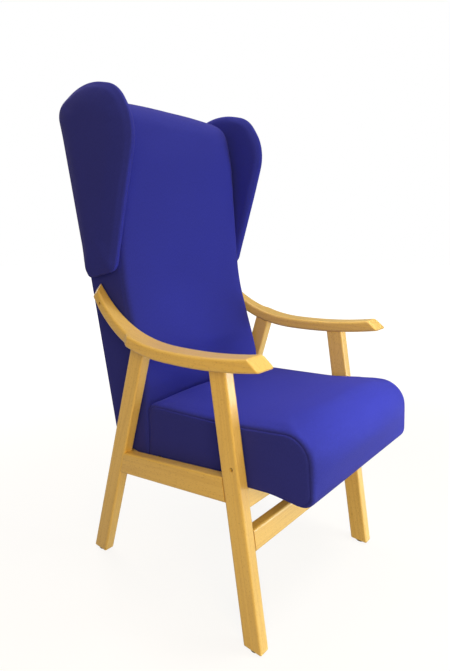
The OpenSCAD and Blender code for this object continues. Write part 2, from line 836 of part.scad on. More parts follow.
// A rail of the back's frame, with its lower edge at low, between the stiles
module back_rail(low, width) {
    in_back() translate([-member_in_x, -stile_rear_d - width, low])
        cube([2 * member_in_x, width, back_rail_h]);
}

// Lower edges of the back's three rails
back_rail_lows = [stile_foot, lumbar_low, stile_top - back_rail_h];

// The dowels between a stile and the three rails
module back_frame_dowel_set(gap) {
    in_back()
        for (low = back_rail_lows)
            for (share = dowel_shares)
                ahead_rod(member_in_x - dowel_reach - gap, 2 * (dowel_reach + gap),
                    [stile_rear_d + member_t / 2, low + back_rail_h * share],
                    small_dowel_d + 2 * gap);
}

wing_screw_places = [for (share = wing_screw_share)
    [wing_strip_d + wing_strip_w / 2, wing_strip_low + wing_strip_h * share]];

module back_stile() {
    difference() {
        in_back() difference() {
            translate([member_in_x, -stile_rear_d - stile_w, stile_foot])
                cube([member_t, stile_w, stile_top - stile_foot]);
            ahead_rod(member_out_x - insert_l - hole_gap, insert_l + hole_gap + overrun,
                arm_bolt_place, insert_d + 2 * hole_gap);
            ahead_rod(member_in_x - overrun, member_t, arm_bolt_place, washer_hole_d);
            ahead_rod(member_in_x - overrun, member_t + 2 * overrun, back_bolt_place,
                washer_hole_d);
            for (place = wing_screw_places)
                ahead_rod(member_in_x - overrun, member_t + 2 * overrun, place,
                    screw_d + 2 * hole_gap);
        }
        back_frame_dowel_set(hole_gap);
    }
}

module back_stile_left() {
    color(plywood) stand() back_stile();
}

module back_stile_right() {
    color(plywood) stand() mirror([1, 0, 0]) back_stile();
}

module back_top_rail() {
    color(plywood) stand() difference() {
        back_rail(back_rail_lows[2], stile_w);
        both_sides() back_frame_dowel_set(hole_gap);
    }
}

module back_lumbar_rail() {
    color(plywood) stand() difference() {
        back_rail(back_rail_lows[1], member_t);
        both_sides() back_frame_dowel_set(hole_gap);
    }
}

// The lower rail leaves room for the heads of the bolts that go into the rear legs
module back_bottom_rail() {
    color(plywood) stand() difference() {
        back_rail(back_rail_lows[0], member_t);
        both_sides() back_frame_dowel_set(hole_gap);
    }
}

module back_frame_dowels() {
    color(beech) stand() both_sides() back_frame_dowel_set(0);
}

module back_webbing() {
    first = lumbar_low;
    pitch = (back_rail_lows[2] - first) / back_strap_count;
    color(strap_black) stand() in_back()
        for (i = [0 : back_strap_count - 1])
            translate([-member_out_x, -stile_rear_d - stile_w - strap_t,
                first + pitch * (i + 0.5) - strap_w / 2])
                cube([2 * member_out_x, strap_t, strap_w]);
}

// Room that the back's frame and straps take out of the foam
back_core_d = stile_rear_d + stile_w + strap_t + soft_gap;
back_core_outline = [[-overrun, -overrun], [back_core_d, -overrun],
    [back_core_d, stile_top + soft_gap], [-overrun, stile_top + soft_gap]];

module back_foam() {
    color(foam_yellow) stand() in_back() difference() {
        ahead_board(-member_out_x, 2 * member_out_x, back_foam_outline);
        ahead_board(-seat_half, 2 * seat_half, back_core_outline);
    }
}

// The cover ends at the panel that closes the back from behind
back_cut_outline = [[-overrun, -overrun], [back_panel_t, -overrun],
    [back_panel_t, back_h + overrun], [-overrun, back_h + overrun]];

module back_cover_front() {
    color(blue) stand() in_back() difference() {
        ahead_board(-cover_in_x, 2 * cover_in_x, back_outline);
        ahead_board(-seat_half, 2 * seat_half, inset(back_outline, cover_t));
        ahead_board(-seat_half, 2 * seat_half, back_cut_outline);
    }
}

module back_cover_side() {
    in_back() difference() {
        ahead_board(cover_in_x, cover_t, back_outline);
        ahead_board(cover_in_x - overrun, cover_t + 2 * overrun, back_cut_outline);
        for (place = concat([arm_bolt_place, back_bolt_place], wing_screw_places))
            ahead_rod(cover_in_x - overrun, cover_t + 2 * overrun, place, washer_hole_d);
    }
}

module back_cover_side_left() {
    color(blue) stand() back_cover_side();
}

module back_cover_side_right() {
    color(blue) stand() mirror([1, 0, 0]) back_cover_side();
}

module back_panel() {
    color(blue) stand() in_back()
        translate([-seat_half, -back_panel_t, panel_edge])
            cube([2 * seat_half, back_panel_t, back_h - 2 * panel_edge]);
}

// The raised strip of a wing's core, from x to x + width, larger by gap on each side
module wing_strip(x, width, gap) {
    translate([x, -wing_strip_d - wing_strip_w - gap, wing_strip_low - gap])
        cube([width, wing_strip_w + 2 * gap, wing_strip_h + 2 * gap]);
}

module wing_board() {
    in_back() difference() {
        union() {
            ahead_board(wing_board_x, wing_board_t, wing_board_outline);
            wing_strip(wing_in_x, wing_inner_pad + overrun, 0);
        }
        for (place = wing_screw_places)
            ahead_rod(wing_in_x - overrun, wing_screw_reach + hole_gap + overrun, place,
                screw_d + 2 * hole_gap);
    }
}

module wing_foam() {
    in_back() difference() {
        ahead_board(wing_in_x + cover_t + soft_gap, wing_t - 2 * (cover_t + soft_gap),
            wing_foam_outline);
        ahead_board(wing_board_x - soft_gap, wing_board_t + 2 * soft_gap,
            inset(wing_board_outline, -soft_gap));
        wing_strip(wing_in_x, wing_inner_pad, soft_gap);
    }
}

module wing_cover() {
    in_back() difference() {
        ahead_board(wing_in_x, wing_t, wing_outline);
        ahead_board(wing_in_x + cover_t, wing_t - 2 * cover_t, inset(wing_outline, cover_t));
        wing_strip(wing_in_x - overrun, cover_t + 2 * overrun, soft_gap);
    }
}

module wing_board_left() {
    color(plywood) stand() wing_board();
}

module wing_board_right() {
    color(plywood) stand() mirror([1, 0, 0]) wing_board();
}

module wing_foam_left() {
    color(foam_yellow) stand() wing_foam();
}

module wing_foam_right() {
    color(foam_yellow) stand() mirror([1, 0, 0]) wing_foam();
}

module wing_cover_left() {
    color(blue) stand() wing_cover();
}

module wing_cover_right() {
    color(blue) stand() mirror([1, 0, 0]) wing_cover();
}

// A wood screw along x whose head lies on the inner face of a member and points outwards
module wood_screw(length, place) {
    ahead_rod(member_in_x - screw_head_h, screw_head_h, place, screw_head_d);
    ahead_rod(member_in_x - overrun, length + overrun, place, screw_d);
}

module wing_screws() {
    color(steel) stand() both_sides() in_back()
        for (place = wing_screw_places)
            wood_screw(wing_in_x - member_in_x + wing_screw_reach, place);
}

module seat_rail_screws() {
    color(steel) stand() both_sides() in_seat()
        for (place = seat_screw_places)
            wood_screw(leg_inner_x - member_in_x + screw_reach, place);
}

module seat_bolts() {
    head_x = leg_outer_x - bolt_sink;
    color(steel) stand() both_sides() in_seat()
        bolt(head_x, head_x - member_in_x, seat_bolt_place);
}

module seat_inserts() {
    color(steel) stand() both_sides() in_seat()
        ring(member_out_x - insert_l, insert_l, seat_bolt_place, insert_d);
}

module seat_spacers() {
    color(dark) stand() both_sides() in_seat()
        for (place = concat([seat_bolt_place], seat_screw_places))
            ring(seat_half, seat_clear, place, spacer_d);
}

module arm_bolts() {
    color(steel) stand() both_sides() in_back()
        bolt(arm_head_x, arm_head_x - member_in_x, arm_bolt_place);
}

module arm_inserts() {
    color(steel) stand() both_sides() in_back()
        ring(member_out_x - insert_l, insert_l, arm_bolt_place, insert_d);
}

module back_bolts() {
    color(steel) stand() both_sides() in_back() {
        ahead_rod(member_in_x - bolt_head_h, bolt_head_h, back_bolt_place, bolt_head_d);
        ahead_rod(member_in_x - overrun, leg_inner_x - member_in_x + insert_l + overrun,
            back_bolt_place, bolt_d);
    }
}

module back_inserts() {
    color(steel) stand() both_sides() in_back()
        ring(leg_inner_x, insert_l, back_bolt_place, insert_d);
}

module back_spacers() {
    color(dark) stand() both_sides() in_back() {
        ring(seat_half, arm_inner_x - seat_half, arm_bolt_place, spacer_d);
        ring(seat_half, seat_clear, back_bolt_place, spacer_d);
    }
}

armrest_left();
armrest_right();
front_leg_left();
front_leg_right();
rear_leg_left();
rear_leg_right();
side_rail_left();
side_rail_right();
front_cross_rail();
seat_cross_rail();
rear_cross_rail();
arm_dowels();
side_rail_dowels();
cross_rail_dowels();
floor_glides();
seat_side_member_left();
seat_side_member_right();
seat_front_member();
seat_rear_member();
seat_frame_dowels();
seat_corner_blocks();
seat_webbing();
seat_foam();
seat_cover_top();
seat_cover_side_left();
seat_cover_side_right();
seat_base_cloth();
back_stile_left();
back_stile_right();
back_top_rail();
back_lumbar_rail();
back_bottom_rail();
back_frame_dowels();
back_webbing();
back_foam();
back_cover_front();
back_cover_side_left();
back_cover_side_right();
back_panel();
wing_board_left();
wing_board_right();
wing_foam_left();
wing_foam_right();
wing_cover_left();
wing_cover_right();
wing_screws();
seat_bolts();
seat_inserts();
seat_rail_screws();
seat_spacers();
arm_bolts();
arm_inserts();
back_bolts();
back_inserts();
back_spacers();
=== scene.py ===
"""Fireside chair with wings: a varnished beech frame with a royal blue upholstered seat, back and
wings. All lengths are in metres. X points to the sitter's left, Y to the rear and Z up."""

import math

import bmesh
import bpy
import numpy as np
from mathutils import Matrix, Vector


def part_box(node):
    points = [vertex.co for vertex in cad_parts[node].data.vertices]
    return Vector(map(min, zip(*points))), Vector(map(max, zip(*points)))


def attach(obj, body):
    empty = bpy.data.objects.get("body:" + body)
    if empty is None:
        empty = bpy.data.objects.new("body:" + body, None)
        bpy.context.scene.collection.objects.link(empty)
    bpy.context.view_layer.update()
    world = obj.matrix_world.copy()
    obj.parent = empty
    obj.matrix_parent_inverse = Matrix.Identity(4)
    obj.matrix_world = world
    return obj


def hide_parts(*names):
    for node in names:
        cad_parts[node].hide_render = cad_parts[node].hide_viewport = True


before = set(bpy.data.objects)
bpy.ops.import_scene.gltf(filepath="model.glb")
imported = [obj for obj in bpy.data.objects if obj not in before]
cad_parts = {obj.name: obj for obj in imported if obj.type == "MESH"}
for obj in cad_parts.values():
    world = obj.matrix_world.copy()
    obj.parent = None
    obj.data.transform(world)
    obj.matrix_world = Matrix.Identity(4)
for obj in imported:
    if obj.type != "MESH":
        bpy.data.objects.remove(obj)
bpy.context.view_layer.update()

# Camera
# It stands at the height of the wings, ahead of the chair and to the sitter's right, and looks
# a little down. Its place and lens were worked out from the lines of the wooden frame.
camera_place = (-0.9941, -0.8338, 0.8704)
camera_turn = math.radians(49.176)
camera_dip = math.radians(8.141)
camera_roll = math.radians(-0.298)
lens_pixels = 495.784
image_middle_pixels = (223.58, 302.67)
image_pixels = (450, 671)
camera_data = bpy.data.cameras.new("camera")
camera_data.sensor_fit = "AUTO"
camera_data.sensor_width = 36
camera_data.lens = 36 * lens_pixels / image_pixels[1]
camera_data.shift_x = (image_pixels[0] / 2 - image_middle_pixels[0]) / image_pixels[1]
camera_data.shift_y = (image_middle_pixels[1] - image_pixels[1] / 2) / image_pixels[1]
camera = bpy.data.objects.new("camera", camera_data)
bpy.context.scene.collection.objects.link(camera)
forward = np.array([
    math.sin(camera_turn) * math.cos(camera_dip),
    math.cos(camera_turn) * math.cos(camera_dip),
    -math.sin(camera_dip),
])
level_right = np.array([math.cos(camera_turn), -math.sin(camera_turn), 0])
level_up = np.cross(level_right, forward)
camera_right = level_right * math.cos(camera_roll) + level_up * math.sin(camera_roll)
camera_up = level_up * math.cos(camera_roll) - level_right * math.sin(camera_roll)
turn = Matrix(np.stack([camera_right, camera_up, -forward], 1).tolist()).to_4x4()
camera.matrix_world = Matrix.Translation(camera_place) @ turn
bpy.context.scene.camera = camera


# Beech legs
# The four legs are planed beech boards with rounded edges. On each side an armrest on top and a
# side rail below it join a front leg, which leans to the rear, and a rear leg, which leans to the
# front.
class Wire:
    """One output of a material's nodes. Sums, products and powers of wires and numbers add the
    Math nodes that work them out."""

    def __init__(self, finish, socket):
        self.finish = finish
        self.socket = socket

    def reckon(self, operation, *others):
        given = dict(enumerate((self, *others)))
        return self.finish.add("ShaderNodeMath", {"operation": operation}, given)

    def __add__(self, other):
        return self.reckon("ADD", other)

    def __mul__(self, other):
        return self.reckon("MULTIPLY", other)

    def __pow__(self, other):
        return self.reckon("POWER", other)

    __radd__ = __add__
    __rmul__ = __mul__

    def sine(self):
        return self.reckon("SINE")

    def above(self, limit, soft):
        """Rises from 0 to 1 as the wire goes from limit - soft to limit + soft."""
        return self.finish.add("ShaderNodeMapRange", {"interpolation_type": "SMOOTHSTEP"}, {
            0: self, 1: limit - soft, 2: limit + soft, 3: 0.0, 4: 1.0})


class Finish:
    """A material with one Principled BSDF. add() makes any other node, and wear() links what
    changes over the surface to the shader."""

    def __init__(self, name, **fixed):
        self.material = bpy.data.materials.new(name)
        self.material.use_nodes = True
        self.tree = self.material.node_tree
        self.shader = self.tree.nodes["Principled BSDF"]
        for socket, value in fixed.items():
            self.shader.inputs[socket.replace("_", " ")].default_value = value

    def add(self, kind, settings, given, output=0):
        node = self.tree.nodes.new(kind)
        for key, value in settings.items():
            setattr(node, key, value)
        for key, value in given.items():
            if isinstance(value, Wire):
                self.tree.links.new(value.socket, node.inputs[key])
            else:
                node.inputs[key].default_value = value
        return Wire(self, node.outputs[output])

    def noise(self, place, scale, detail):
        return self.add("ShaderNodeTexNoise", {"noise_dimensions": "3D"}, {
            "Vector": place, "Scale": scale, "Detail": detail})

    def stretched(self, place, scale):
        return self.add("ShaderNodeVectorMath", {"operation": "MULTIPLY"}, {0: place, 1: scale})

    def blend(self, share, first, second):
        return self.add("ShaderNodeMix", {"data_type": "RGBA"}, {
            0: share, 6: first, 7: second}, 2)

    def bump(self, height, distance, strength):
        return self.add("ShaderNodeBump", {}, {
            "Height": height, "Distance": distance, "Strength": strength})

    def wear(self, **worn):
        for socket, wire in worn.items():
            self.tree.links.new(wire.socket, self.shader.inputs[socket.replace("_", " ")])
        return self.material


def varnished_beech():
    """Natural beech under a clear satin varnish. The grain runs along the piece's own grain
    attribute: soft growth rings, long fine streaks and the short dark flecks of beech."""
    wood = Finish("varnished_beech", Roughness=0.33, Coat_Weight=0.22, Coat_Roughness=0.16,
                  Specular_IOR_Level=0.5)
    grain = wood.add("ShaderNodeAttribute", {"attribute_name": "grain"}, {}, 1)
    figure = wood.noise(wood.stretched(grain, (1.1, 9.0, 9.0)), 1.0, 2.0)
    rings = wood.noise(wood.stretched(grain, (0.9, 60.0, 34.0)), 1.0, 1.0) * 42.0
    late_wood = (rings.sine() * 0.5 + 0.5) ** 3.0
    streaks = wood.noise(wood.stretched(grain, (7.0, 520.0, 520.0)), 1.0, 3.0)
    pores = wood.noise(wood.stretched(grain, (90.0, 1500.0, 1500.0)), 1.0, 1.0)
    flecks = wood.noise(wood.stretched(grain, (210.0, 1300.0, 500.0)), 1.0, 0.0)
    fleck_share = flecks.above(0.69, 0.05)
    pore_share = pores.above(0.66, 0.06)
    warm = wood.blend(figure.above(0.5, 0.22), (0.94, 0.655, 0.225, 1), (0.87, 0.585, 0.178, 1))
    ringed = wood.blend(late_wood * 0.22, warm, (0.64, 0.37, 0.11, 1))
    streaked = wood.blend(streaks.above(0.52, 0.2) * 0.20, ringed, (0.92, 0.68, 0.32, 1))
    flecked = wood.blend(fleck_share * 0.26, streaked, (0.46, 0.24, 0.07, 1))
    pored = wood.blend(pore_share * 0.15, flecked, (0.50, 0.27, 0.09, 1))
    end = wood.add("ShaderNodeAttribute", {"attribute_name": "end_grain"}, {}, 2)
    colour = wood.blend(end * 0.55, pored, (0.36, 0.18, 0.062, 1))
    gloss = 0.30 + figure * 0.08 + end * 0.12
    relief = streaks * 0.35 + pore_share * -0.6 + fleck_share * -0.3
    return wood.wear(Base_Color=colour, Roughness=gloss, Normal=wood.bump(relief, 0.00012, 0.5))


beech = varnished_beech()


def new_piece(name, points, faces):
    """New object in the scene with a mesh of these points and faces."""
    mesh = bpy.data.meshes.new(name)
    mesh.from_pydata(points, [], faces)
    piece = bpy.data.objects.new(name, mesh)
    bpy.context.scene.collection.objects.link(piece)
    return piece


def walls(rows):
    """Four-sided faces between neighbouring rows of points that run round a closed outline."""
    here, there = rows[:-1], rows[1:]
    faces = np.stack([here, np.roll(here, -1, 1), np.roll(there, -1, 1), there], -1)
    return faces.reshape(-1, 4)


def closed(rows):
    """The walls between the rows, with one face over the first row and one over the last."""
    return walls(rows).tolist() + [rows[0][::-1].tolist(), rows[-1].tolist()]


def unit(values):
    """Each row of values divided by its length."""
    return values / np.linalg.norm(values, axis=1, keepdims=True)


def lengths_along(points):
    """Length along a line from its first point to each of its points."""
    return np.concatenate([[0], np.cumsum(np.linalg.norm(np.diff(points, axis=0), axis=1))])


def bar(name, line, across, down, width, depth, radius, ends, slides, steps=3):
    """Closed bar with rounded edges. A rounded rectangle, width by depth, is carried along a line
    that its first corner follows. Towards each end the rectangle is drawn in round a quarter
    circle, whose two radii are in ends: at the distance n < e from the end, by
    e - sqrt(e squared - (e - n) squared). Each of the two slides is a function that gives how far
    the end's points move along the line, from their place across and down the rectangle."""
    length = lengths_along(line)
    total = length[-1]
    guard = 0.0015
    arc_points = 5
    turn_in = 1 - np.sin(np.linspace(math.pi / 2, 0, arc_points))
    head = np.append(ends[0] * turn_in, ends[0] + guard)
    tail = total - np.append(ends[1] * turn_in, ends[1] + guard)[::-1]
    inner = np.linspace(head[-1], tail[0], steps + 2)[1:-1]
    at = np.concatenate([head, inner, tail])

    def carried(values):
        values = np.atleast_2d(values)
        values = np.repeat(values, len(length), 0) if len(values) == 1 else values
        return np.stack([np.interp(at, length, column) for column in values.T], 1)

    places = carried(line)
    tangents = unit(carried(np.gradient(line, length, axis=0)))
    acrosses = unit(carried(across))
    downs = unit(carried(down))
    widths = carried(np.reshape(width, (-1, 1)))
    near = [np.clip(ends[0] - at, 0, None), np.clip(ends[1] - (total - at), 0, None)]
    drawn = [e - np.sqrt(e * e - np.minimum(n, e) ** 2) for e, n in zip(ends, near)]
    inset = np.minimum(drawn[0] + drawn[1], radius - 0.0001)[:, None]
    angle = np.radians(np.arange(4)[:, None] * 90 + np.linspace(0, 90, arc_points))
    radial = np.stack([np.cos(angle), np.sin(angle)], -1)
    forwards = np.stack([-np.sin(angle), np.cos(angle)], -1)
    radial = np.concatenate([radial[:, :1], radial, radial[:, -1:]], 1).reshape(-1, 2)
    corner_points = arc_points + 2
    shift = np.zeros((4, corner_points, 2))
    shift[:, 0] = -guard * forwards[:, 0]
    shift[:, -1] = guard * forwards[:, -1]
    shift = shift.reshape(-1, 2)
    right = np.repeat([1, 0, 0, 1], corner_points)
    low = np.repeat([1, 1, 0, 0], corner_points)
    side = radius + right * (widths - 2 * radius) + shift[:, 0] + (radius - inset) * radial[:, 0]
    sunk = radius + low * (depth - 2 * radius) + shift[:, 1] + (radius - inset) * radial[:, 1]
    slide_reach = 0.06
    reach = min(slide_reach, total / 2)
    slide = slides[0](side, sunk) * np.clip(1 - at / reach, 0, 1)[:, None]
    slide = slide + slides[1](side, sunk) * np.clip(1 - (total - at) / reach, 0, 1)[:, None]
    rings = (places[:, None] + acrosses[:, None] * side[..., None]
             + downs[:, None] * sunk[..., None] + tangents[:, None] * slide[..., None])
    count, around = rings.shape[:2]
    rows = np.arange(count * around).reshape(count, around)
    piece = new_piece(name, rings.reshape(-1, 3).tolist(), closed(rows))
    outward(piece.data)
    return piece


def outward(mesh):
    """Merges double points, cuts faces of more than four corners into triangles and turns every
    face of a closed mesh outwards."""
    work = bmesh.new()
    work.from_mesh(mesh)
    bmesh.ops.remove_doubles(work, verts=work.verts, dist=1e-6)
    large = [face for face in work.faces if len(face.verts) > 4]
    bmesh.ops.triangulate(work, faces=large)
    bmesh.ops.recalc_face_normals(work, faces=work.faces)
    work.to_mesh(mesh)
    work.free()


def drilled(piece, low_x, high_x, y, z, radius):
    """Cuts a round hole along X out of a piece."""
    steps = 32
    turned = np.linspace(0, 2 * math.pi, steps + 1)[:-1]
    ring = np.stack([turned * 0, y + radius * np.cos(turned), z + radius * np.sin(turned)], 1)
    points = np.concatenate([ring + [low_x, 0, 0], ring + [high_x, 0, 0]])
    rows = np.arange(2 * steps).reshape(2, steps)
    drill = new_piece("drill", points.tolist(), closed(rows))
    outward(drill.data)
    cut = piece.modifiers.new("cut", "BOOLEAN")
    cut.object = drill
    cut.solver = "EXACT"
    shaped = piece.evaluated_get(bpy.context.evaluated_depsgraph_get())
    piece.data = bpy.data.meshes.new_from_object(shaped)
    piece.modifiers.clear()
    bpy.data.objects.remove(drill)


def set_attribute(mesh, name, kind, domain, values):
    """Writes one value or vector for each point or face into a mesh attribute."""
    key = "vector" if kind == "FLOAT_VECTOR" else "value"
    mesh.attributes.new(name, kind, domain).data.foreach_set(key, np.ravel(values))


def ramp(values, start, length):
    """0 up to start, 1 from start + length on, and in between (value - start) / length."""
    return np.clip((values - start) / length, 0, 1)


def wooden(piece, node, along, across, start, bend=None):
    """Finishes a beech piece: grain coordinates measured from start along the board, across it
    and through it, end grain where a face looks along the board, and the varnish. Where the
    board bends, bend holds matching places along Y and lengths along the curve. own_figure
    shifts the grain by a multiple of the start, so that no two boards look alike."""
    mesh = piece.data
    along, across = np.array(along, float), np.array(across, float)
    points = np.empty(len(mesh.vertices) * 3)
    mesh.vertices.foreach_get("co", points)
    points = points.reshape(-1, 3) - start
    through = np.cross(along, across)
    run = points @ along if bend is None else np.interp(points[:, 1], *bend)
    grain = np.stack([run, points @ across, points @ through], 1)
    own_figure = np.array(start) * 7.3
    set_attribute(mesh, "grain", "FLOAT_VECTOR", "POINT", grain + own_figure)
    normals = np.empty(len(mesh.polygons) * 3)
    mesh.polygons.foreach_get("normal", normals)
    facing = np.abs(normals.reshape(-1, 3) @ along)
    set_attribute(mesh, "end_grain", "FLOAT", "FACE", ramp(facing, 0.62, 0.2))
    mesh.shade_smooth()
    mesh.set_sharp_from_angle(angle=math.radians(38))
    mesh.materials.append(beech)
    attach(piece, "root")
    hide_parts(node)


# The chair's middle lies this far to the front of the seat's rear end
stand_y = 0.07774
board = 0.028
leg_width = 0.0465
leg_inner = 0.233
leg_length = 0.615
edge_radius = 0.0045
glide_height = 0.003
into_armrest = 0.0005
look_up_rounds = 4
bolt_hole_radius = 0.0046
bolt_hole_x = (0.250, 0.270)
# For each pair: the foot's place along Y, and the lean in radians from upright to the rear
leg_stands = {
    "front": (stand_y - 0.352, math.radians(9.2)),
    "rear": (stand_y + 0.181, math.radians(-17.4)),
}


def leg_axes(lean):
    """Directions up a leg and square to it towards the rear: (0, sin, cos) and (0, cos, -sin)
    of its lean."""
    return (np.array([0, math.sin(lean), math.cos(lean)]),
            np.array([0, math.cos(lean), -math.sin(lean)]))


def box_middle(node):
    """Y and Z of the middle of a node's box in the frame."""
    low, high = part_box(node)
    return (low.y + high.y) / 2, (low.z + high.z) / 2


def cubic(points, share):
    """Point of a cubic curve: its four points weighed by the Bernstein shares at share."""
    share = share[:, None]
    weights = [(1 - share) ** 3, 3 * (1 - share) ** 2 * share, 3 * (1 - share) * share ** 2,
               share ** 3]
    return sum(weight * point for weight, point in zip(weights, points))


# The armrest's top in the side view, from its front end over its lowest point to its rear tip
arm_thickness = 0.029
arm_lowest = np.array([stand_y - 0.120, 0.6155])
arm_front = arm_lowest + np.array([[-1, 1], [-0.665, 0.24], [-0.34, 0], [0, 0]]) * (0.233, 0.019)
arm_rear = arm_lowest + np.array([[0, 0], [0.42, 0], [0.734, 0.31], [1, 1]]) * (0.286, 0.1275)
arm_top = np.concatenate([
    cubic(arm_front, np.linspace(0, 1, 41)),
    cubic(arm_rear, np.linspace(0, 1, 81)[1:]),
])
arm_run = unit(np.gradient(arm_top, axis=0))
arm_down = np.stack([arm_run[:, 1], -arm_run[:, 0]], 1)
arm_under = arm_top + arm_down * arm_thickness


sides = ((-1, "right"), (1, "left"))
for pair, (foot_y, lean) in leg_stands.items():
    up, rearwards = leg_axes(lean)
    for side, side_name in sides:
        start = np.array([side * leg_inner, foot_y, 0]) - rearwards * leg_width / 2
        line = start + up * np.linspace(0, leg_length, 4)[:, None]

        def to_floor(across, down):
            """Slides the foot's points to the top of the glide."""
            return (glide_height + (down - leg_width / 2) * math.sin(lean)) / math.cos(lean)

        def to_armrest(across, down):
            """Slides the leg's upper end a little way into the armrest's underside, whose
            height at the end's own place is looked up in a few rounds."""
            reach = leg_length + 0 * down
            for _ in range(look_up_rounds):
                y = start[1] + rearwards[1] * down + up[1] * reach
                goal = np.interp(y, arm_under[:, 0], arm_under[:, 1])
                reach = (goal - start[2] - rearwards[2] * down) / up[2]
            return reach + into_armrest - leg_length

        leg = bar(f"{pair}_leg_{side_name}_wood", line, (side, 0, 0), rearwards, board, leg_width,
                  edge_radius, (0.003, 0.0003), (to_floor, to_armrest))
        if pair == "front":
            drilled(leg, *sorted(side * x for x in bolt_hole_x), *box_middle("seat_bolts"),
                    bolt_hole_radius)
        wooden(leg, f"{pair}_leg_{side_name}", up, (side, 0, 0), start)


# Side rails
# A rail falls to the rear between the two legs of each side, level with their faces. It is
# dowelled and glued into their edges, and the seat is screwed to it from inside.
rail_depth = 0.055
rail_fall = math.radians(7.7)
rail_run = np.array([math.cos(rail_fall), -math.sin(rail_fall)])
rail_down = np.array([-math.sin(rail_fall), -math.cos(rail_fall)])
rail_middle = np.array([stand_y, 0.297]) - rail_down * rail_depth / 2


def rail_reach(pair, down):
    """Length along a side rail from its place under the seat's rear end to the edge of a leg,
    where the line of the rail at the depth down crosses the line of that edge."""
    foot_y, lean = leg_stands[pair]
    edge = 1 if pair == "front" else -1
    point = np.array([foot_y + edge * leg_width / 2 / math.cos(lean), 0])
    slope = np.array([math.sin(lean), math.cos(lean)])
    away = point - rail_middle - down[..., None] * rail_down
    crossed = rail_run[0] * slope[1] - rail_run[1] * slope[0]
    return (away[..., 0] * slope[1] - away[..., 1] * slope[0]) / crossed


rail_start = float(rail_reach("front", np.array(0.0)))
rail_end = float(rail_reach("rear", np.array(0.0)))
for side, side_name in sides:
    along = np.array([0, *rail_run])
    middle = np.array([side * leg_inner, *rail_middle])
    line = middle + along * np.linspace(rail_start, rail_end, 4)[:, None]
    rail = bar(f"side_rail_{side_name}_wood", line, (side, 0, 0), (0, *rail_down), board,
               rail_depth, edge_radius, (0.0003, 0.0003),
               (lambda across, down: rail_reach("front", down) - rail_start,
                lambda across, down: rail_reach("rear", down) - rail_end))
    wooden(rail, f"side_rail_{side_name}", along, (side, 0, 0), line[0])


# Cross rails
# Three rails of the legs' stock join the two sides: one low between the front legs, one close
# under the seat, and one between the rear legs. They are dowelled into the legs' inner faces.
rail_height = 0.046
cross_rails = {
    "front_cross_rail": ("front", (board - leg_width) / 2, 0.209),
    "seat_cross_rail": ("front", (leg_width - board) / 2, 0.290),
    "rear_cross_rail": ("rear", 0.0, 0.280),
}


def flat_end(across, down):
    """Slides an end by nothing: it is cut square."""
    return np.zeros_like(across + down)


for rail_name, (pair, middle_depth, low) in cross_rails.items():
    foot_y, lean = leg_stands[pair]
    up, rearwards = leg_axes(lean)
    corner = (np.array([-leg_inner, foot_y, 0]) + up * (low + rail_height)
              + rearwards * (middle_depth - board / 2))
    line = corner + np.array([1, 0, 0]) * np.linspace(0, 2 * leg_inner, 4)[:, None]
    rail = bar(rail_name + "_wood", line, rearwards, -up, board, rail_height, edge_radius,
               (0.0003, 0.0003), (flat_end, flat_end))
    wooden(rail, rail_name, (1, 0, 0), up, corner)


# Armrests
# Each armrest is sawn to a bow from one thick board. It is flat on top with rounded edges, has
# a slanted front end, and tapers behind a small shoulder to the tip that is bolted to the back.
arm_inner = 0.231
arm_width = 0.055
arm_radius = 0.0065
arm_tip_width = 0.024
taper_start = stand_y + 0.002
taper_end = arm_under[-1, 0]
arm_nose = 0.026
arm_tip_slant = 0.024
middle_y = (arm_top[:, 0] + arm_under[:, 0]) / 2
taper_share = ramp(middle_y, taper_start, taper_end - taper_start)
arm_shoulder = 0.007
shoulder_length = 0.018
shoulder_share = ramp(middle_y, taper_start, shoulder_length)
shoulder_share = shoulder_share ** 2 * (3 - 2 * shoulder_share)
arm_widths = (arm_width - shoulder_share * arm_shoulder
              - taper_share * (arm_width - arm_shoulder - arm_tip_width))
arm_hole_x = (0.2431, 0.290)
for side, side_name in sides:
    line = np.column_stack([np.full(len(arm_top), side * arm_inner), arm_top])
    down = np.column_stack([np.zeros(len(arm_top)), arm_down])
    arm = bar(f"armrest_{side_name}_wood", line, (side, 0, 0), down, arm_widths, arm_thickness,
              arm_radius, (0.0035, 0.0035),
              (lambda across, down: -arm_nose * down / arm_thickness,
               lambda across, down: -arm_tip_slant * across / arm_tip_width), 120)
    drilled(arm, *sorted(side * x for x in arm_hole_x), *box_middle("arm_bolts"),
            bolt_hole_radius)
    wooden(arm, f"armrest_{side_name}", (0, 1, 0), (side, 0, 0), line[0],
           (arm_top[:, 0] - line[0, 1], lengths_along(arm_top)))


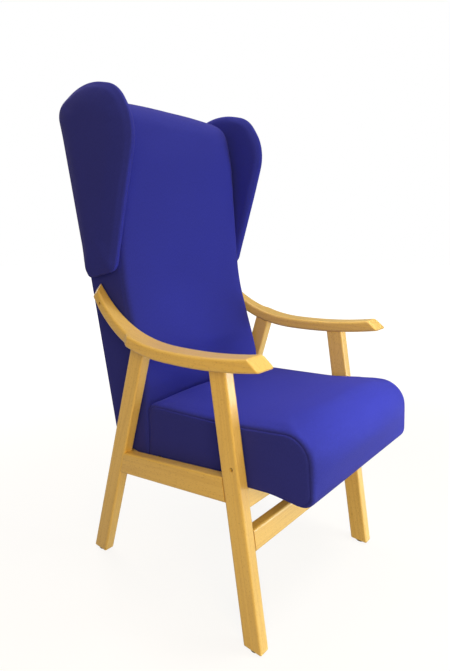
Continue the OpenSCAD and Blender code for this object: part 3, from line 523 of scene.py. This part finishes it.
# Seat cushion
# A block of foam on elastic straps in a board frame, in a boxed cover: one strip runs over the
# top and the rounded front to the underside, and a panel is sewn to it on each side.
def blue_cloth():
    """Close royal blue upholstery cloth. Threads a little over a millimetre apart cross over and
    under each other along the cloth map, and the dye varies softly from place to place."""
    cloth = Finish("blue_cloth", Roughness=0.85, Sheen_Weight=0.05, Sheen_Roughness=0.5,
                   Sheen_Tint=(0.80, 0.72, 0.60, 1), Specular_IOR_Level=0.25)
    place = cloth.add("ShaderNodeUVMap", {"uv_map": "cloth"}, {})
    split = cloth.tree.nodes.new("ShaderNodeSeparateXYZ")
    cloth.tree.links.new(place.socket, split.inputs[0])
    two_threads = 0.0022
    warp, weft = (Wire(cloth, split.outputs[k]) * (2 * math.pi / two_threads) for k in (0, 1))
    over = warp.sine() * weft.sine()
    slubs = cloth.noise(cloth.stretched(place, (900.0, 160.0, 1.0)), 1.0, 1.0)
    slubs_across = cloth.noise(cloth.stretched(place, (160.0, 900.0, 1.0)), 1.0, 1.0)
    solid = cloth.add("ShaderNodeTexCoord", {}, {}, 3)
    shade = cloth.noise(solid, 9.0, 2.0)
    height = over * 0.5 + (slubs + slubs_across) * 0.4
    thread = cloth.blend(over * 0.5 + 0.5, (0.018, 0.024, 0.34, 1), (0.026, 0.034, 0.46, 1))
    mottled = cloth.blend(slubs.above(0.5, 0.2) * 0.35, thread, (0.034, 0.044, 0.55, 1))
    colour = cloth.blend(shade.above(0.5, 0.3) * 0.16, mottled, (0.016, 0.021, 0.32, 1))
    return cloth.wear(Base_Color=colour, Normal=cloth.bump(height, 0.0003, 0.55))


blue = blue_cloth()


def rounded_outline(corners, radii):
    """Closed outline whose corners are arcs. The centre of each arc lies on the corner's
    bisector, a radius over the sine of the half angle away, and the arc is that centre plus
    the radius times cosine and sine of its angle."""
    corners, radii = np.array(corners, float), np.array(radii, float)[:, None]
    before = unit(np.roll(corners, 1, 0) - corners)
    after = unit(np.roll(corners, -1, 0) - corners)
    half = np.arccos(np.sum(before * after, 1, keepdims=True)) / 2
    centres = corners + unit(before + after) * radii / np.sin(half)
    first = corners + before * radii / np.tan(half) - centres
    last = corners + after * radii / np.tan(half) - centres
    start = np.arctan2(first[:, 1], first[:, 0])
    crossed = first[:, 0] * last[:, 1] - first[:, 1] * last[:, 0]
    turned = np.arctan2(crossed, np.sum(first * last, 1))
    arc_points = 9
    angle = start[:, None] + turned[:, None] * np.linspace(0, 1, arc_points)
    arcs = np.stack([np.cos(angle), np.sin(angle)], -1)
    return (centres[:, None] + radii[:, None] * arcs).reshape(-1, 2)


def even_outline(points, spacing):
    """The same closed outline with points at even distances along it."""
    loop = np.vstack([points, points[:1]])
    length = lengths_along(loop)
    at = np.linspace(0, length[-1], int(round(length[-1] / spacing)), endpoint=False)
    return np.stack([np.interp(at, length, loop[:, k]) for k in (0, 1)], 1)


def to_spine(points, spine):
    """Way from each point to the nearest place of a spine, the line between two inner places."""
    first, last = np.array(spine, float)
    along = last - first
    share = np.clip((points - first) @ along / (along @ along), 0, 1)
    return first + share[:, None] * along - points


def inward_rings(outline, spine, edge_steps, inner_steps):
    """Rings inside a closed outline, and how far in each point lies. Each point goes straight
    towards the spine, first by the edge steps, which take up half of the way at most, and then
    in even steps to 94 % of the way."""
    away = to_spine(outline, spine)
    reach = np.linalg.norm(away, axis=1)
    edge = np.array(edge_steps)[:, None] * np.minimum(1, 0.5 * reach / edge_steps[-1])
    inner = edge[-1] + (0.94 * reach - edge[-1]) * np.linspace(0, 1, inner_steps + 1)[1:, None]
    depth = np.concatenate([edge, inner])
    return outline + depth[..., None] * (away / reach[:, None]), depth


def rungs(ring):
    """Faces that close a ring like the rungs of a ladder, between points as many steps to the
    left as to the right of one place, which is chosen so that the rungs are shortest in all."""
    count, half = len(ring), len(ring) // 2
    orders = [np.roll(np.arange(count), -first) for first in range(count)]
    order = min(orders, key=lambda order: np.linalg.norm(
        ring[order[:half]] - ring[order[::-1][:half]], axis=1).sum())
    left, right = order[:half], order[::-1][:half]
    faces = np.stack([left[:-1], left[1:], right[1:], right[:-1]], -1).tolist()
    if count % 2:
        faces.append([left[-1], order[half], right[-1]])
    return faces


def cloth_piece(name, points, faces, cloth_map):
    """Piece with a cloth map in metres, smooth and turned outwards."""
    piece = new_piece(name, points.tolist(), faces)
    layer = piece.data.uv_layers.new(name="cloth")
    layer.data.foreach_set("uv", np.ravel(cloth_map))
    outward(piece.data)
    piece.data.shade_smooth()
    return piece


def covered(rows, flat, closing):
    """Faces of one side of a pad, and their places on the flat cloth: walls between the rows of
    points, and the closing faces in the last row. flat holds the place of each point by row."""
    count, around = rows.shape
    table = np.arange(count * around).reshape(rows.shape)
    faces = walls(rows).tolist() + [rows[-1][face].tolist() for face in closing]
    maps = [flat[walls(table).ravel()]] + [flat[table[-1][face]] for face in closing]
    return faces, maps


# Distances from a seam at which the cloth has a row of points
seam_steps = np.array([0.0009, 0.002, 0.0036, 0.006, 0.009, 0.013, 0.018, 0.025, 0.034, 0.046])


def boxed(name, outline, spine, half_width, place, side_bulge, spacing, roll):
    """Boxed cushion: a strip that follows the outline from side to side, and two side panels
    made of rings inside the outline. Towards each side seam the strip rolls in round a quarter
    circle: at the length a from the seam it lies r (1 - cos(a / r)) inside the side and
    r (1 - sin(a / r)) inside the outline, with r the roll that a function gives for each place
    (ahead, up). place turns (ahead, up) into Y and Z. Returns the piece, and for each point its
    distance from the seam, its place (ahead, up) and whether it belongs to the strip."""
    loop = even_outline(outline, spacing)
    around = len(loop)
    inwards = unit(to_spine(loop, spine))
    radius = roll(loop[:, 0], loop[:, 1])
    column_spacing = 0.017
    inner = np.linspace(seam_steps[-1], half_width, int(round(half_width / column_spacing)))
    from_side = np.concatenate([[0], seam_steps, inner[1:]])[:, None]
    bend = np.clip(from_side / radius, 0, math.pi / 2)
    inside = radius * (1 - np.cos(bend)) + np.clip(from_side - radius * math.pi / 2, 0, None)
    inside = inside * half_width / inside[-1]
    half_strip = half_width - inside
    half_roll = radius * (1 - np.sin(bend))
    across = np.concatenate([-half_strip, half_strip[-2::-1]])
    rolled = np.concatenate([half_roll, half_roll[-2::-1]])
    from_side = np.concatenate([from_side, from_side[-2::-1]])
    columns = len(across)
    strip_at = loop + rolled[..., None] * inwards
    strip = np.empty((columns, around, 3))
    strip[..., 0] = across
    strip[..., 1:] = np.stack(place(strip_at[..., 0], strip_at[..., 1]), -1)
    seam_loop = strip_at[0]
    inner_steps = 8
    rings, depth = inward_rings(seam_loop, spine, seam_steps, inner_steps)
    swell = side_bulge * (1 - np.exp(-depth / 0.006))
    panels = []
    for side in (-1, 1):
        panel = np.empty((*rings.shape[:2], 3))
        panel[..., 0] = side * (half_width + swell)
        panel[..., 1:] = np.stack(place(rings[..., 0], rings[..., 1]), -1)
        panels.append(panel)
    count = columns * around
    panel_count = len(rings) * around
    points = np.concatenate([strip.reshape(-1, 3), panels[0].reshape(-1, 3),
                             panels[1].reshape(-1, 3)])
    grid = np.arange(count).reshape(columns, around)
    length = lengths_along(np.vstack([loop, loop[:1]]))
    u = across
    v = np.broadcast_to(length[:-1], (columns, around))
    v_next = np.broadcast_to(length[1:], (columns, around))
    strip_map = np.stack([
        np.stack([u[:-1], v[:-1]], -1), np.stack([u[:-1], v_next[:-1]], -1),
        np.stack([u[1:], v_next[1:]], -1), np.stack([u[1:], v[1:]], -1)], 2).reshape(-1, 2)
    faces, maps = walls(grid).tolist(), [strip_map]
    flat = np.concatenate([seam_loop[None], rings]).reshape(-1, 2)
    closing = rungs(rings[-1])
    for seam_row, start in ((grid[0], count), (grid[-1], count + panel_count)):
        rows = np.concatenate([seam_row[None],
                               start + np.arange(panel_count).reshape(-1, around)])
        panel_faces, panel_maps = covered(rows, flat, closing)
        faces += panel_faces
        maps += panel_maps
    piece = cloth_piece(name, points, faces, np.concatenate(maps))
    from_seam = np.concatenate([
        np.broadcast_to(from_side, (columns, around)).ravel(), depth.ravel(), depth.ravel()])
    ahead_up = np.concatenate([np.broadcast_to(loop, (columns, around, 2)).reshape(-1, 2),
                               rings.reshape(-1, 2), rings.reshape(-1, 2)])
    on_strip = np.arange(len(points)) < count
    return piece, from_seam, ahead_up, on_strip


def points_of(mesh):
    """The places and the outward directions of a mesh's points."""
    places = np.empty(len(mesh.vertices) * 3)
    mesh.vertices.foreach_get("co", places)
    normals = np.array([n.vector for n in mesh.vertex_normals])
    return places.reshape(-1, 3), normals


def swollen(piece, free, crown, cap, pressure):
    """Gives a padded piece its crowned foam and lets the cloth settle over it. First each point
    moves outwards by its crown. Then twenty steps of a cloth simulation press the cloth out,
    points with free at 0 stay, and a move d becomes cap times the hyperbolic tangent of d over
    cap."""
    mesh = piece.data
    start, normals = points_of(mesh)
    start = start + normals * crown[:, None]
    mesh.vertices.foreach_set("co", start.ravel())
    mesh.update()
    held = piece.vertex_groups.new(name="held")
    for weight in (0.25, 0.5, 0.75, 1.0):
        chosen = np.flatnonzero(np.abs(1 - free - weight) <= 0.125)
        if len(chosen):
            held.add(chosen.tolist(), weight, "REPLACE")
    cloth = piece.modifiers.new("cloth", "CLOTH")
    cloth.settings.quality = 6
    cloth.settings.mass = 0.012
    cloth.settings.tension_stiffness = 25
    cloth.settings.compression_stiffness = 25
    cloth.settings.shear_stiffness = 12
    cloth.settings.bending_stiffness = 2
    cloth.settings.use_pressure = True
    cloth.settings.uniform_pressure_force = pressure
    cloth.settings.vertex_group_mass = "held"
    cloth.settings.effector_weights.gravity = 0
    cloth.collision_settings.use_collision = False
    cloth.collision_settings.use_self_collision = False
    steps = 20
    for step in range(1, steps + 1):
        bpy.context.scene.frame_set(step)
    shaped = piece.evaluated_get(bpy.context.evaluated_depsgraph_get())
    ended = np.empty(len(mesh.vertices) * 3)
    shaped.data.vertices.foreach_get("co", ended)
    moved = ended.reshape(-1, 3) - start
    piece.modifiers.remove(cloth)
    piece.vertex_groups.clear()
    bpy.context.scene.frame_set(1)
    swell = np.sum(moved * normals, 1)[free > 0.9]
    print(piece.name, "settled by", np.round(np.percentile(swell, (5, 50, 95)), 4))
    far = np.linalg.norm(moved, axis=1)
    limit = np.maximum(cap * free, 1e-6)
    share = limit * np.tanh(far / limit) / np.maximum(far, 1e-9)
    mesh.vertices.foreach_set("co", (start + moved * share[:, None]).ravel())
    mesh.update()


def sewn(piece, from_seam, depth):
    """Draws the cloth in at the seams, by depth times exp(-(e / 1.5 mm) squared), with e the
    distance from the seam."""
    mesh = piece.data
    start, normals = points_of(mesh)
    drawn = depth * np.exp(-(from_seam / 0.0015) ** 2)
    mesh.vertices.foreach_set("co", (start - normals * drawn[:, None]).ravel())
    mesh.update()


def upholstered(piece, nodes):
    """Finishes a padded piece: smooth cloth over the pad, its material and its place."""
    smooth = piece.modifiers.new("smooth", "SUBSURF")
    smooth.levels = 1
    smooth.render_levels = 1
    piece.data.materials.append(blue)
    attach(piece, "root")
    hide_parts(*nodes)


cushion_half = 0.228
seam_width = 0.0005
seat_tilt = math.radians(6.2)
seat_rear_z = 0.306


def seat_place(ahead, up):
    """Y and Z of a point of the seat: its place ahead of the seat's rear end and above the
    underside, turned by the seat's tilt."""
    y = stand_y - ahead * math.cos(seat_tilt) + up * math.sin(seat_tilt)
    return y, seat_rear_z + ahead * math.sin(seat_tilt) + up * math.cos(seat_tilt)


def seat_roll(ahead, up):
    """Radius of the roll beside the seat's side seams: 4 mm at the underside, and 4.5 mm more
    from 80 mm up and at the front."""
    return 0.004 + 0.0045 * np.maximum(ramp(up, 0, 0.08), ramp(ahead, 0.44, 0.02))


def domed(from_seam, reach):
    """Rise of a stuffed strip as a share of its crown: 1 - (1 - e / reach) squared at the
    distance e from the side seam, and 1 beyond the reach."""
    return 1 - (1 - ramp(from_seam, 0, reach)) ** 2


# The seat's side view: underside, lower front lip, nose, hollow and rear end of the top
seat_outline = rounded_outline(
    [[0, -0.0003], [0.372, -0.0003], [0.4725, -0.0150], [0.4815, 0.1405], [0.288, 0.1362],
     [0.016, 0.149]],
    [0.006, 0.25, 0.026, 0.058, 0.55, 0.028])
seat, seat_seam, seat_at, seat_strip = boxed(
    "seat_cushion", seat_outline, [[0.070, 0.070], [0.400, 0.070]], cushion_half, seat_place,
    0.0020, 0.009, seat_roll)
seat_ahead, seat_up = seat_at.T
on_top = ramp(seat_up, 0.100, 0.030) * ramp(seat_ahead, 0, 0.02)
on_front = ramp(seat_ahead, 0.430, 0.03) * ramp(seat_up, 0.005, 0.06)
seat_free = np.maximum(on_top, on_front) * seat_strip * (seat_seam > seam_width)
top_crown = np.interp(seat_ahead, [0.10, 0.26, 0.37, 0.45], [0.008, 0.0090, 0.0125, 0.0100])
front_crown = 0.0115
seat_crown = ((top_crown * on_top + front_crown * (1 - on_top) * on_front)
              * domed(seat_seam, 0.16) * seat_strip)
swollen(seat, seat_free, seat_crown, 0.0022, 4.0)
sewn(seat, seat_seam, 0.0022)
upholstered(seat, ["seat_foam", "seat_cover_top", "seat_cover_side_left",
                   "seat_cover_side_right"])


# Back cushion
# The tall back is made as the seat is: foam on straps in a board frame. The cover's strip runs
# from the underside up the hollowed front and over the top, between two sewn side panels.
back_rake = math.radians(12.6)
back_foot = np.array([stand_y + 0.001 + 0.125 * math.cos(back_rake), 0.320])


def back_place(ahead, up):
    """Y and Z of a point of the back: its place ahead of the back's rear face and up along it,
    turned by the back's rake."""
    y = back_foot[0] - ahead * math.cos(back_rake) + up * math.sin(back_rake)
    return y, back_foot[1] + ahead * math.sin(back_rake) + up * math.cos(back_rake)


def back_roll(ahead, up):
    """Radius of the roll beside the back's side seams: 5 mm at the rear, and towards the front
    up to 9 mm more at the seat and the loins and 17 mm more at the head."""
    front_roll = np.interp(up, [0.03, 0.13, 0.45, 0.62], [0, 0.009, 0.009, 0.017])
    return 0.005 + ramp(ahead, 0.06, 0.06) * front_roll


# The back's side view: lower edge, front from the seat over the loins to the head, and top
back_height = 0.870
back_outline = rounded_outline(
    [[0.0035, 0.002], [0.117, -0.041], [0.126, 0.006], [0.158, 0.148], [0.137, 0.392],
     [0.1885, 0.722], [0.1865, back_height + 0.001], [0.0035, back_height]],
    [0.004, 0.008, 0.030, 0.150, 0.55, 0.40, 0.066, 0.012])
back, back_seam, back_at, back_strip = boxed(
    "back_cushion", back_outline, [[0.080, 0.055], [0.085, 0.790]], cushion_half, back_place,
    0.0012, 0.011, back_roll)
back_ahead, back_up = back_at.T
on_face = ramp(back_ahead, 0.100, 0.02) * ramp(back_up, 0.17, 0.05)
on_crest = ramp(back_up, 0.862, 0.004)
back_free = np.maximum(on_face, 0.5 * on_crest) * back_strip * (back_seam > seam_width)
face_crown = 0.011
crest_crown = 0.003
back_crown = ((face_crown * on_face + crest_crown * (1 - on_face) * on_crest)
              * domed(back_seam, 0.18) * back_strip)
swollen(back, back_free, back_crown, 0.0016, 4.0)
sewn(back, back_seam, 0.0006)
upholstered(back, ["back_foam", "back_cover_front", "back_cover_side_left",
                   "back_cover_side_right"])


# Rear panel
# The back is closed from behind by a thin padded panel in the same cloth, whose edges are
# turned in and sewn to the cover.
def pillow(name, outline, spine, half_thickness, edge, place, bulge, spacing):
    """Flat closed pad with rounded edges. Rings go inwards from the outline on both faces, and
    at the distance e from it the pad is sqrt(1 - (1 - e / edge) squared) of its thickness, and
    bulges by 1 - (1 - s) squared, with s the share of the way in. edge and bulge have one value
    for each face. place turns (ahead, up, through) into X, Y and Z. Returns the piece, the
    distance from the outline, the face (-1, 0 or 1) and the place (ahead, up) of each point."""
    loop = even_outline(outline, spacing)
    around = len(loop)
    steps = np.array([0.0007, 0.0025, 0.005, 0.0085, 0.0125, 0.017, 0.023, 0.031])
    inner_steps = 7
    rings, depth = inward_rings(loop, spine, steps, inner_steps)
    flat = np.concatenate([loop[None], rings]).reshape(-1, 2)
    closing = rungs(rings[-1])
    bulging = 1 - (1 - depth / depth[-1]) ** 2
    blocks, faces, maps = [np.column_stack([loop, np.zeros(around)])], [], []
    for face, sign in ((0, -1), (1, 1)):
        thinner = np.clip(1 - depth / edge[face], 0, 1)
        through = half_thickness * np.sqrt(1 - thinner ** 2) + bulge[face] * bulging
        blocks.append(np.concatenate([rings, sign * through[..., None]], -1).reshape(-1, 3))
        inner_points = around + face * depth.size + np.arange(depth.size)
        rows = np.concatenate([np.arange(around), inner_points]).reshape(-1, around)
        side_faces, side_maps = covered(rows, flat, closing)
        faces += side_faces
        maps += side_maps
    local = np.concatenate(blocks)
    points = np.stack(place(*local.T), -1)
    piece = cloth_piece(name, points, faces, np.concatenate(maps))
    from_edge = np.concatenate([np.zeros(around), depth.ravel(), depth.ravel()])
    which = np.repeat([0, -1, 1], [around, depth.size, depth.size])
    return piece, from_edge, which, local[:, :2]


panel_half = 0.2272
panel_inset = 0.0018
panel_low, panel_high = 0.003, back_height - 0.004
panel_outline = rounded_outline(
    [[-panel_half, panel_low], [panel_half, panel_low], [panel_half, panel_high],
     [-panel_half, panel_high]],
    [0.012, 0.012, 0.014, 0.014])


def rear_place(across, up, through):
    """X, Y and Z of a point of the panel, which lies in the back's rear face: across is X, and
    through points to the rear."""
    return (across, *back_place(panel_inset - through, up))


rear_panel, *_ = pillow(
    "rear_panel", panel_outline, [[0, 0.20], [0, 0.67]], 0.0022, (0.003, 0.006), rear_place,
    (0.0, 0.0022), 0.012)
upholstered(rear_panel, ["back_panel"])


# Wings
# Each wing is a board padded on both faces and round its edge, and covered in one close skin. It
# is screwed to the side of the back, and its lower edge ends above the armrest.
wing_depth = 0.274
wing_height = 0.464
wing_rear = 0.014
wing_low = 0.437
wing_corners = np.array([[0.018, 0], [0.418, 0], [1.048, 0.666], [0.900, 0.897], [0.478, 1.023],
                         [-0.004, 0.975]]) * (wing_depth, wing_height) + (wing_rear, wing_low)
wing_radii = np.array([0.030, 0.055, 0.28, 0.194, 0.474, 0.080]) * wing_height
wing_half = 0.017
wing_middle = 0.2453
wing_lean = 0.005
for side, side_name in sides:

    def wing_place(ahead, up, through):
        """X, Y and Z of a wing's point. The wing is screwed flat to the back's side, and its lower
        front corner leans in by wing_lean against the rounded edge of the back."""
        height = (up - wing_low) / wing_height
        low_share = ramp(ahead, 0.06, 0.07) * np.interp(height, [0.05, 0.40], [1, 0])
        return (side * (wing_middle + through - wing_lean * low_share), *back_place(ahead, up))

    wing, wing_edge, wing_face, wing_at = pillow(
        f"wing_{side_name}_pad", rounded_outline(wing_corners, wing_radii),
        [[0.095, 0.530], [0.150, 0.770]], wing_half, (0.026, 0.075), wing_place,
        (0.0, 0.0015), 0.009)
    ahead_of_back = ramp(wing_at[:, 0], 0.190, 0.03)
    outer = np.clip(wing_face, 0, 1)
    wing_free = (np.maximum(outer, ahead_of_back * (wing_face < 0))
                 * ramp(wing_edge, 0.008, 0.01))
    wing_crown = wing_free * np.where(wing_face < 0, 0.0025, 0.0035)
    swollen(wing, wing_free, wing_crown, 0.001, 3.0)
    upholstered(wing, [f"wing_foam_{side_name}", f"wing_cover_{side_name}"])


# Cloth under the seat
# A thin dark cloth is stapled to the frame's underside to keep dust out, up to where the cover
# is turned under the front. It hangs a little between its stapled edges.
def plain_finish(name, low, high, roughness, metallic, scale, relief):
    """A material in two close shades, mixed by a soft pattern, with fine relief."""
    made = Finish(name, Metallic=metallic)
    place = made.add("ShaderNodeTexCoord", {}, {}, 3)
    cloud = made.noise(place, scale, 3.0)
    fine = made.noise(place, scale * 24, 2.0)
    colour = made.blend(cloud.above(0.5, 0.25), (*low, 1), (*high, 1))
    return made.wear(Base_Color=colour, Roughness=roughness + fine * 0.1,
                     Normal=made.bump(fine, relief, 0.6))


dust_cloth = plain_finish("dust_cloth", (0.018, 0.018, 0.020), (0.030, 0.030, 0.033), 0.85, 0.0,
                          40.0, 0.0002)
cloth_half = 0.222
cloth_rear, cloth_length = 0.008, 0.352
under_seat = 0.0010
deepest_sag = 0.0035
grid_x, grid_ahead = np.meshgrid(np.linspace(-cloth_half, cloth_half, 45),
                                 np.linspace(cloth_rear, cloth_rear + cloth_length, 37))
sag = (deepest_sag * np.cos(grid_x / cloth_half * math.pi / 2)
       * np.sin((grid_ahead - cloth_rear) / cloth_length * math.pi))
grid_y, grid_z = seat_place(grid_ahead, -under_seat - sag)
rows = np.arange(grid_x.size).reshape(grid_x.shape)
cloth_faces = np.stack([rows[:-1, :-1], rows[:-1, 1:], rows[1:, 1:], rows[1:, :-1]], -1)
cloth_sheet = new_piece(
    "dust_cloth_sheet", np.stack([grid_x, grid_y, grid_z], -1).reshape(-1, 3).tolist(),
    cloth_faces.reshape(-1, 4).tolist())
cloth_sheet.data.shade_smooth()
cloth_sheet.data.materials.append(dust_cloth)
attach(cloth_sheet, "root")
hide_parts("seat_base_cloth")


# Inner frames, straps and fastenings
# Boards, dowels and straps inside the upholstery, and the steel and plastic parts that join the
# pieces. They keep their shapes from the frame and get their own finishes.
carried_finishes = [
    (plain_finish("raw_board", (0.50, 0.34, 0.17), (0.62, 0.44, 0.24), 0.7, 0.0, 30.0, 0.0001),
     ["seat_side_member_left", "seat_side_member_right", "seat_front_member",
      "seat_rear_member", "seat_corner_blocks", "back_stile_left", "back_stile_right",
      "back_top_rail", "back_lumbar_rail", "back_bottom_rail", "wing_board_left",
      "wing_board_right"]),
    (plain_finish("dowel_beech", (0.60, 0.38, 0.18), (0.70, 0.47, 0.24), 0.6, 0.0, 90.0, 0.0001),
     ["arm_dowels", "side_rail_dowels", "cross_rail_dowels", "seat_frame_dowels",
      "back_frame_dowels"]),
    (plain_finish("strap_rubber", (0.010, 0.010, 0.011), (0.022, 0.022, 0.024), 0.7, 0.0, 120.0,
                  0.0002),
     ["seat_webbing", "back_webbing"]),
    (plain_finish("zinc_steel", (0.42, 0.42, 0.43), (0.52, 0.52, 0.54), 0.35, 1.0, 160.0,
                  0.00003),
     ["wing_screws", "seat_bolts", "seat_inserts", "seat_rail_screws", "arm_bolts",
      "arm_inserts", "back_bolts", "back_inserts"]),
    (plain_finish("black_plastic", (0.012, 0.012, 0.012), (0.020, 0.020, 0.021), 0.5, 0.0, 140.0,
                  0.00005),
     ["floor_glides", "seat_spacers", "back_spacers"]),
]
for finish, node_names in carried_finishes:
    for node_name in node_names:
        node_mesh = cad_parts[node_name].data
        node_mesh.materials.clear()
        node_mesh.materials.append(finish)


# Floor and light
# The chair stands on a plain white floor. A soft lamp lights it from the front, on the sitter's
# left, a small one lights the seat's front edge from above, one hangs over the chair, one stands
# behind it, and a warm one fills the shade beside the camera.
def lamp(name, place, aim, size, power, colour, spread=180):
    """Square area lamp at a place, turned to its aim, whose light opens by spread degrees."""
    data = bpy.data.lights.new(name, "AREA")
    data.size = size
    data.spread = math.radians(spread)
    data.energy = power
    data.color = colour
    lamp_object = bpy.data.objects.new(name, data)
    bpy.context.scene.collection.objects.link(lamp_object)
    away = np.array(place, float) - aim
    side_way = np.cross((0, 0, 1), away)
    side_way = side_way / np.linalg.norm(side_way)
    back_way = away / np.linalg.norm(away)
    turn_to = Matrix(np.stack([side_way, np.cross(back_way, side_way), back_way], 1).tolist())
    lamp_object.matrix_world = Matrix.Translation(place) @ turn_to.to_4x4()


far_off = 12
floor = new_piece("floor", [(-far_off, -far_off, 0), (far_off, -far_off, 0),
                            (far_off, far_off, 0), (-far_off, far_off, 0)], [(0, 1, 2, 3)])
floor_finish = Finish("white_floor", Roughness=0.9, Specular_IOR_Level=0.1)
floor_finish.shader.inputs["Base Color"].default_value = (0.37, 0.345, 0.31, 1)
seen = floor_finish.add("ShaderNodeLightPath", {}, {})
mirrored = floor_finish.add("ShaderNodeLightPath", {}, {}, 3)
spot = floor_finish.add("ShaderNodeTexCoord", {}, {}, 3)
far = floor_finish.add("ShaderNodeVectorMath", {"operation": "LENGTH"}, {0: spot}, 1)
whiteness = floor_finish.blend(far.above(2.0, 1.3), (0.80, 0.80, 0.80, 1), (1, 1, 1, 1))
glow = floor_finish.add("ShaderNodeEmission", {}, {"Color": whiteness, "Strength": 1.76})
glow_share = 0.62
mirrored_share = 0.4
floor_mix = floor_finish.add("ShaderNodeMixShader", {}, {
    0: (seen + mirrored * mirrored_share) * glow_share,
    1: Wire(floor_finish, floor_finish.shader.outputs[0]),
    2: glow,
})
floor_output = floor_finish.tree.nodes["Material Output"]
floor_finish.tree.links.new(floor_mix.socket, floor_output.inputs["Surface"])
floor.data.materials.append(floor_finish.material)

lamp("key_lamp", (0.85, -1.6, 0.42), (0, -0.2, 0.4), 0.8, 17, (0.87, 0.96, 1))
lamp("seat_lamp", (0.3, -0.95, 1.75), (0, -0.46, 0.45), 0.4, 0.7, (0.92, 0.96, 1), 40)
lamp("top_lamp", (0.25, 0.25, 3.8), (0, -0.1, 0.5), 2.0, 54, (1, 0.97, 0.92))
lamp("fill_lamp", (-1.40, -1.6, 1.30), (0, 0, 0.7), 1.2, 26.5, (1, 0.765, 0.27))
lamp("rear_lamp", (0.7, 2.6, 1.7), (0, 0, 0.6), 1.8, 30, (1, 0.97, 0.93))

world = bpy.data.worlds.new("room")
bpy.context.scene.world = world
world.use_nodes = True
world_tree = world.node_tree
room = world_tree.nodes["Background"]
room.inputs["Color"].default_value = (1, 0.84, 0.52, 1)
room.inputs["Strength"].default_value = 0.27
backdrop = world_tree.nodes.new("ShaderNodeBackground")
backdrop.inputs["Color"].default_value = (1, 1, 1, 1)
backdrop.inputs["Strength"].default_value = 1.0
room_rays = world_tree.nodes.new("ShaderNodeLightPath")
room_mix = world_tree.nodes.new("ShaderNodeMixShader")
world_tree.links.new(room_rays.outputs["Is Camera Ray"], room_mix.inputs[0])
world_tree.links.new(room.outputs[0], room_mix.inputs[1])
world_tree.links.new(backdrop.outputs[0], room_mix.inputs[2])
world_tree.links.new(room_mix.outputs[0], world_tree.nodes["World Output"].inputs["Surface"])
bpy.context.scene.view_settings.view_transform = "Standard"
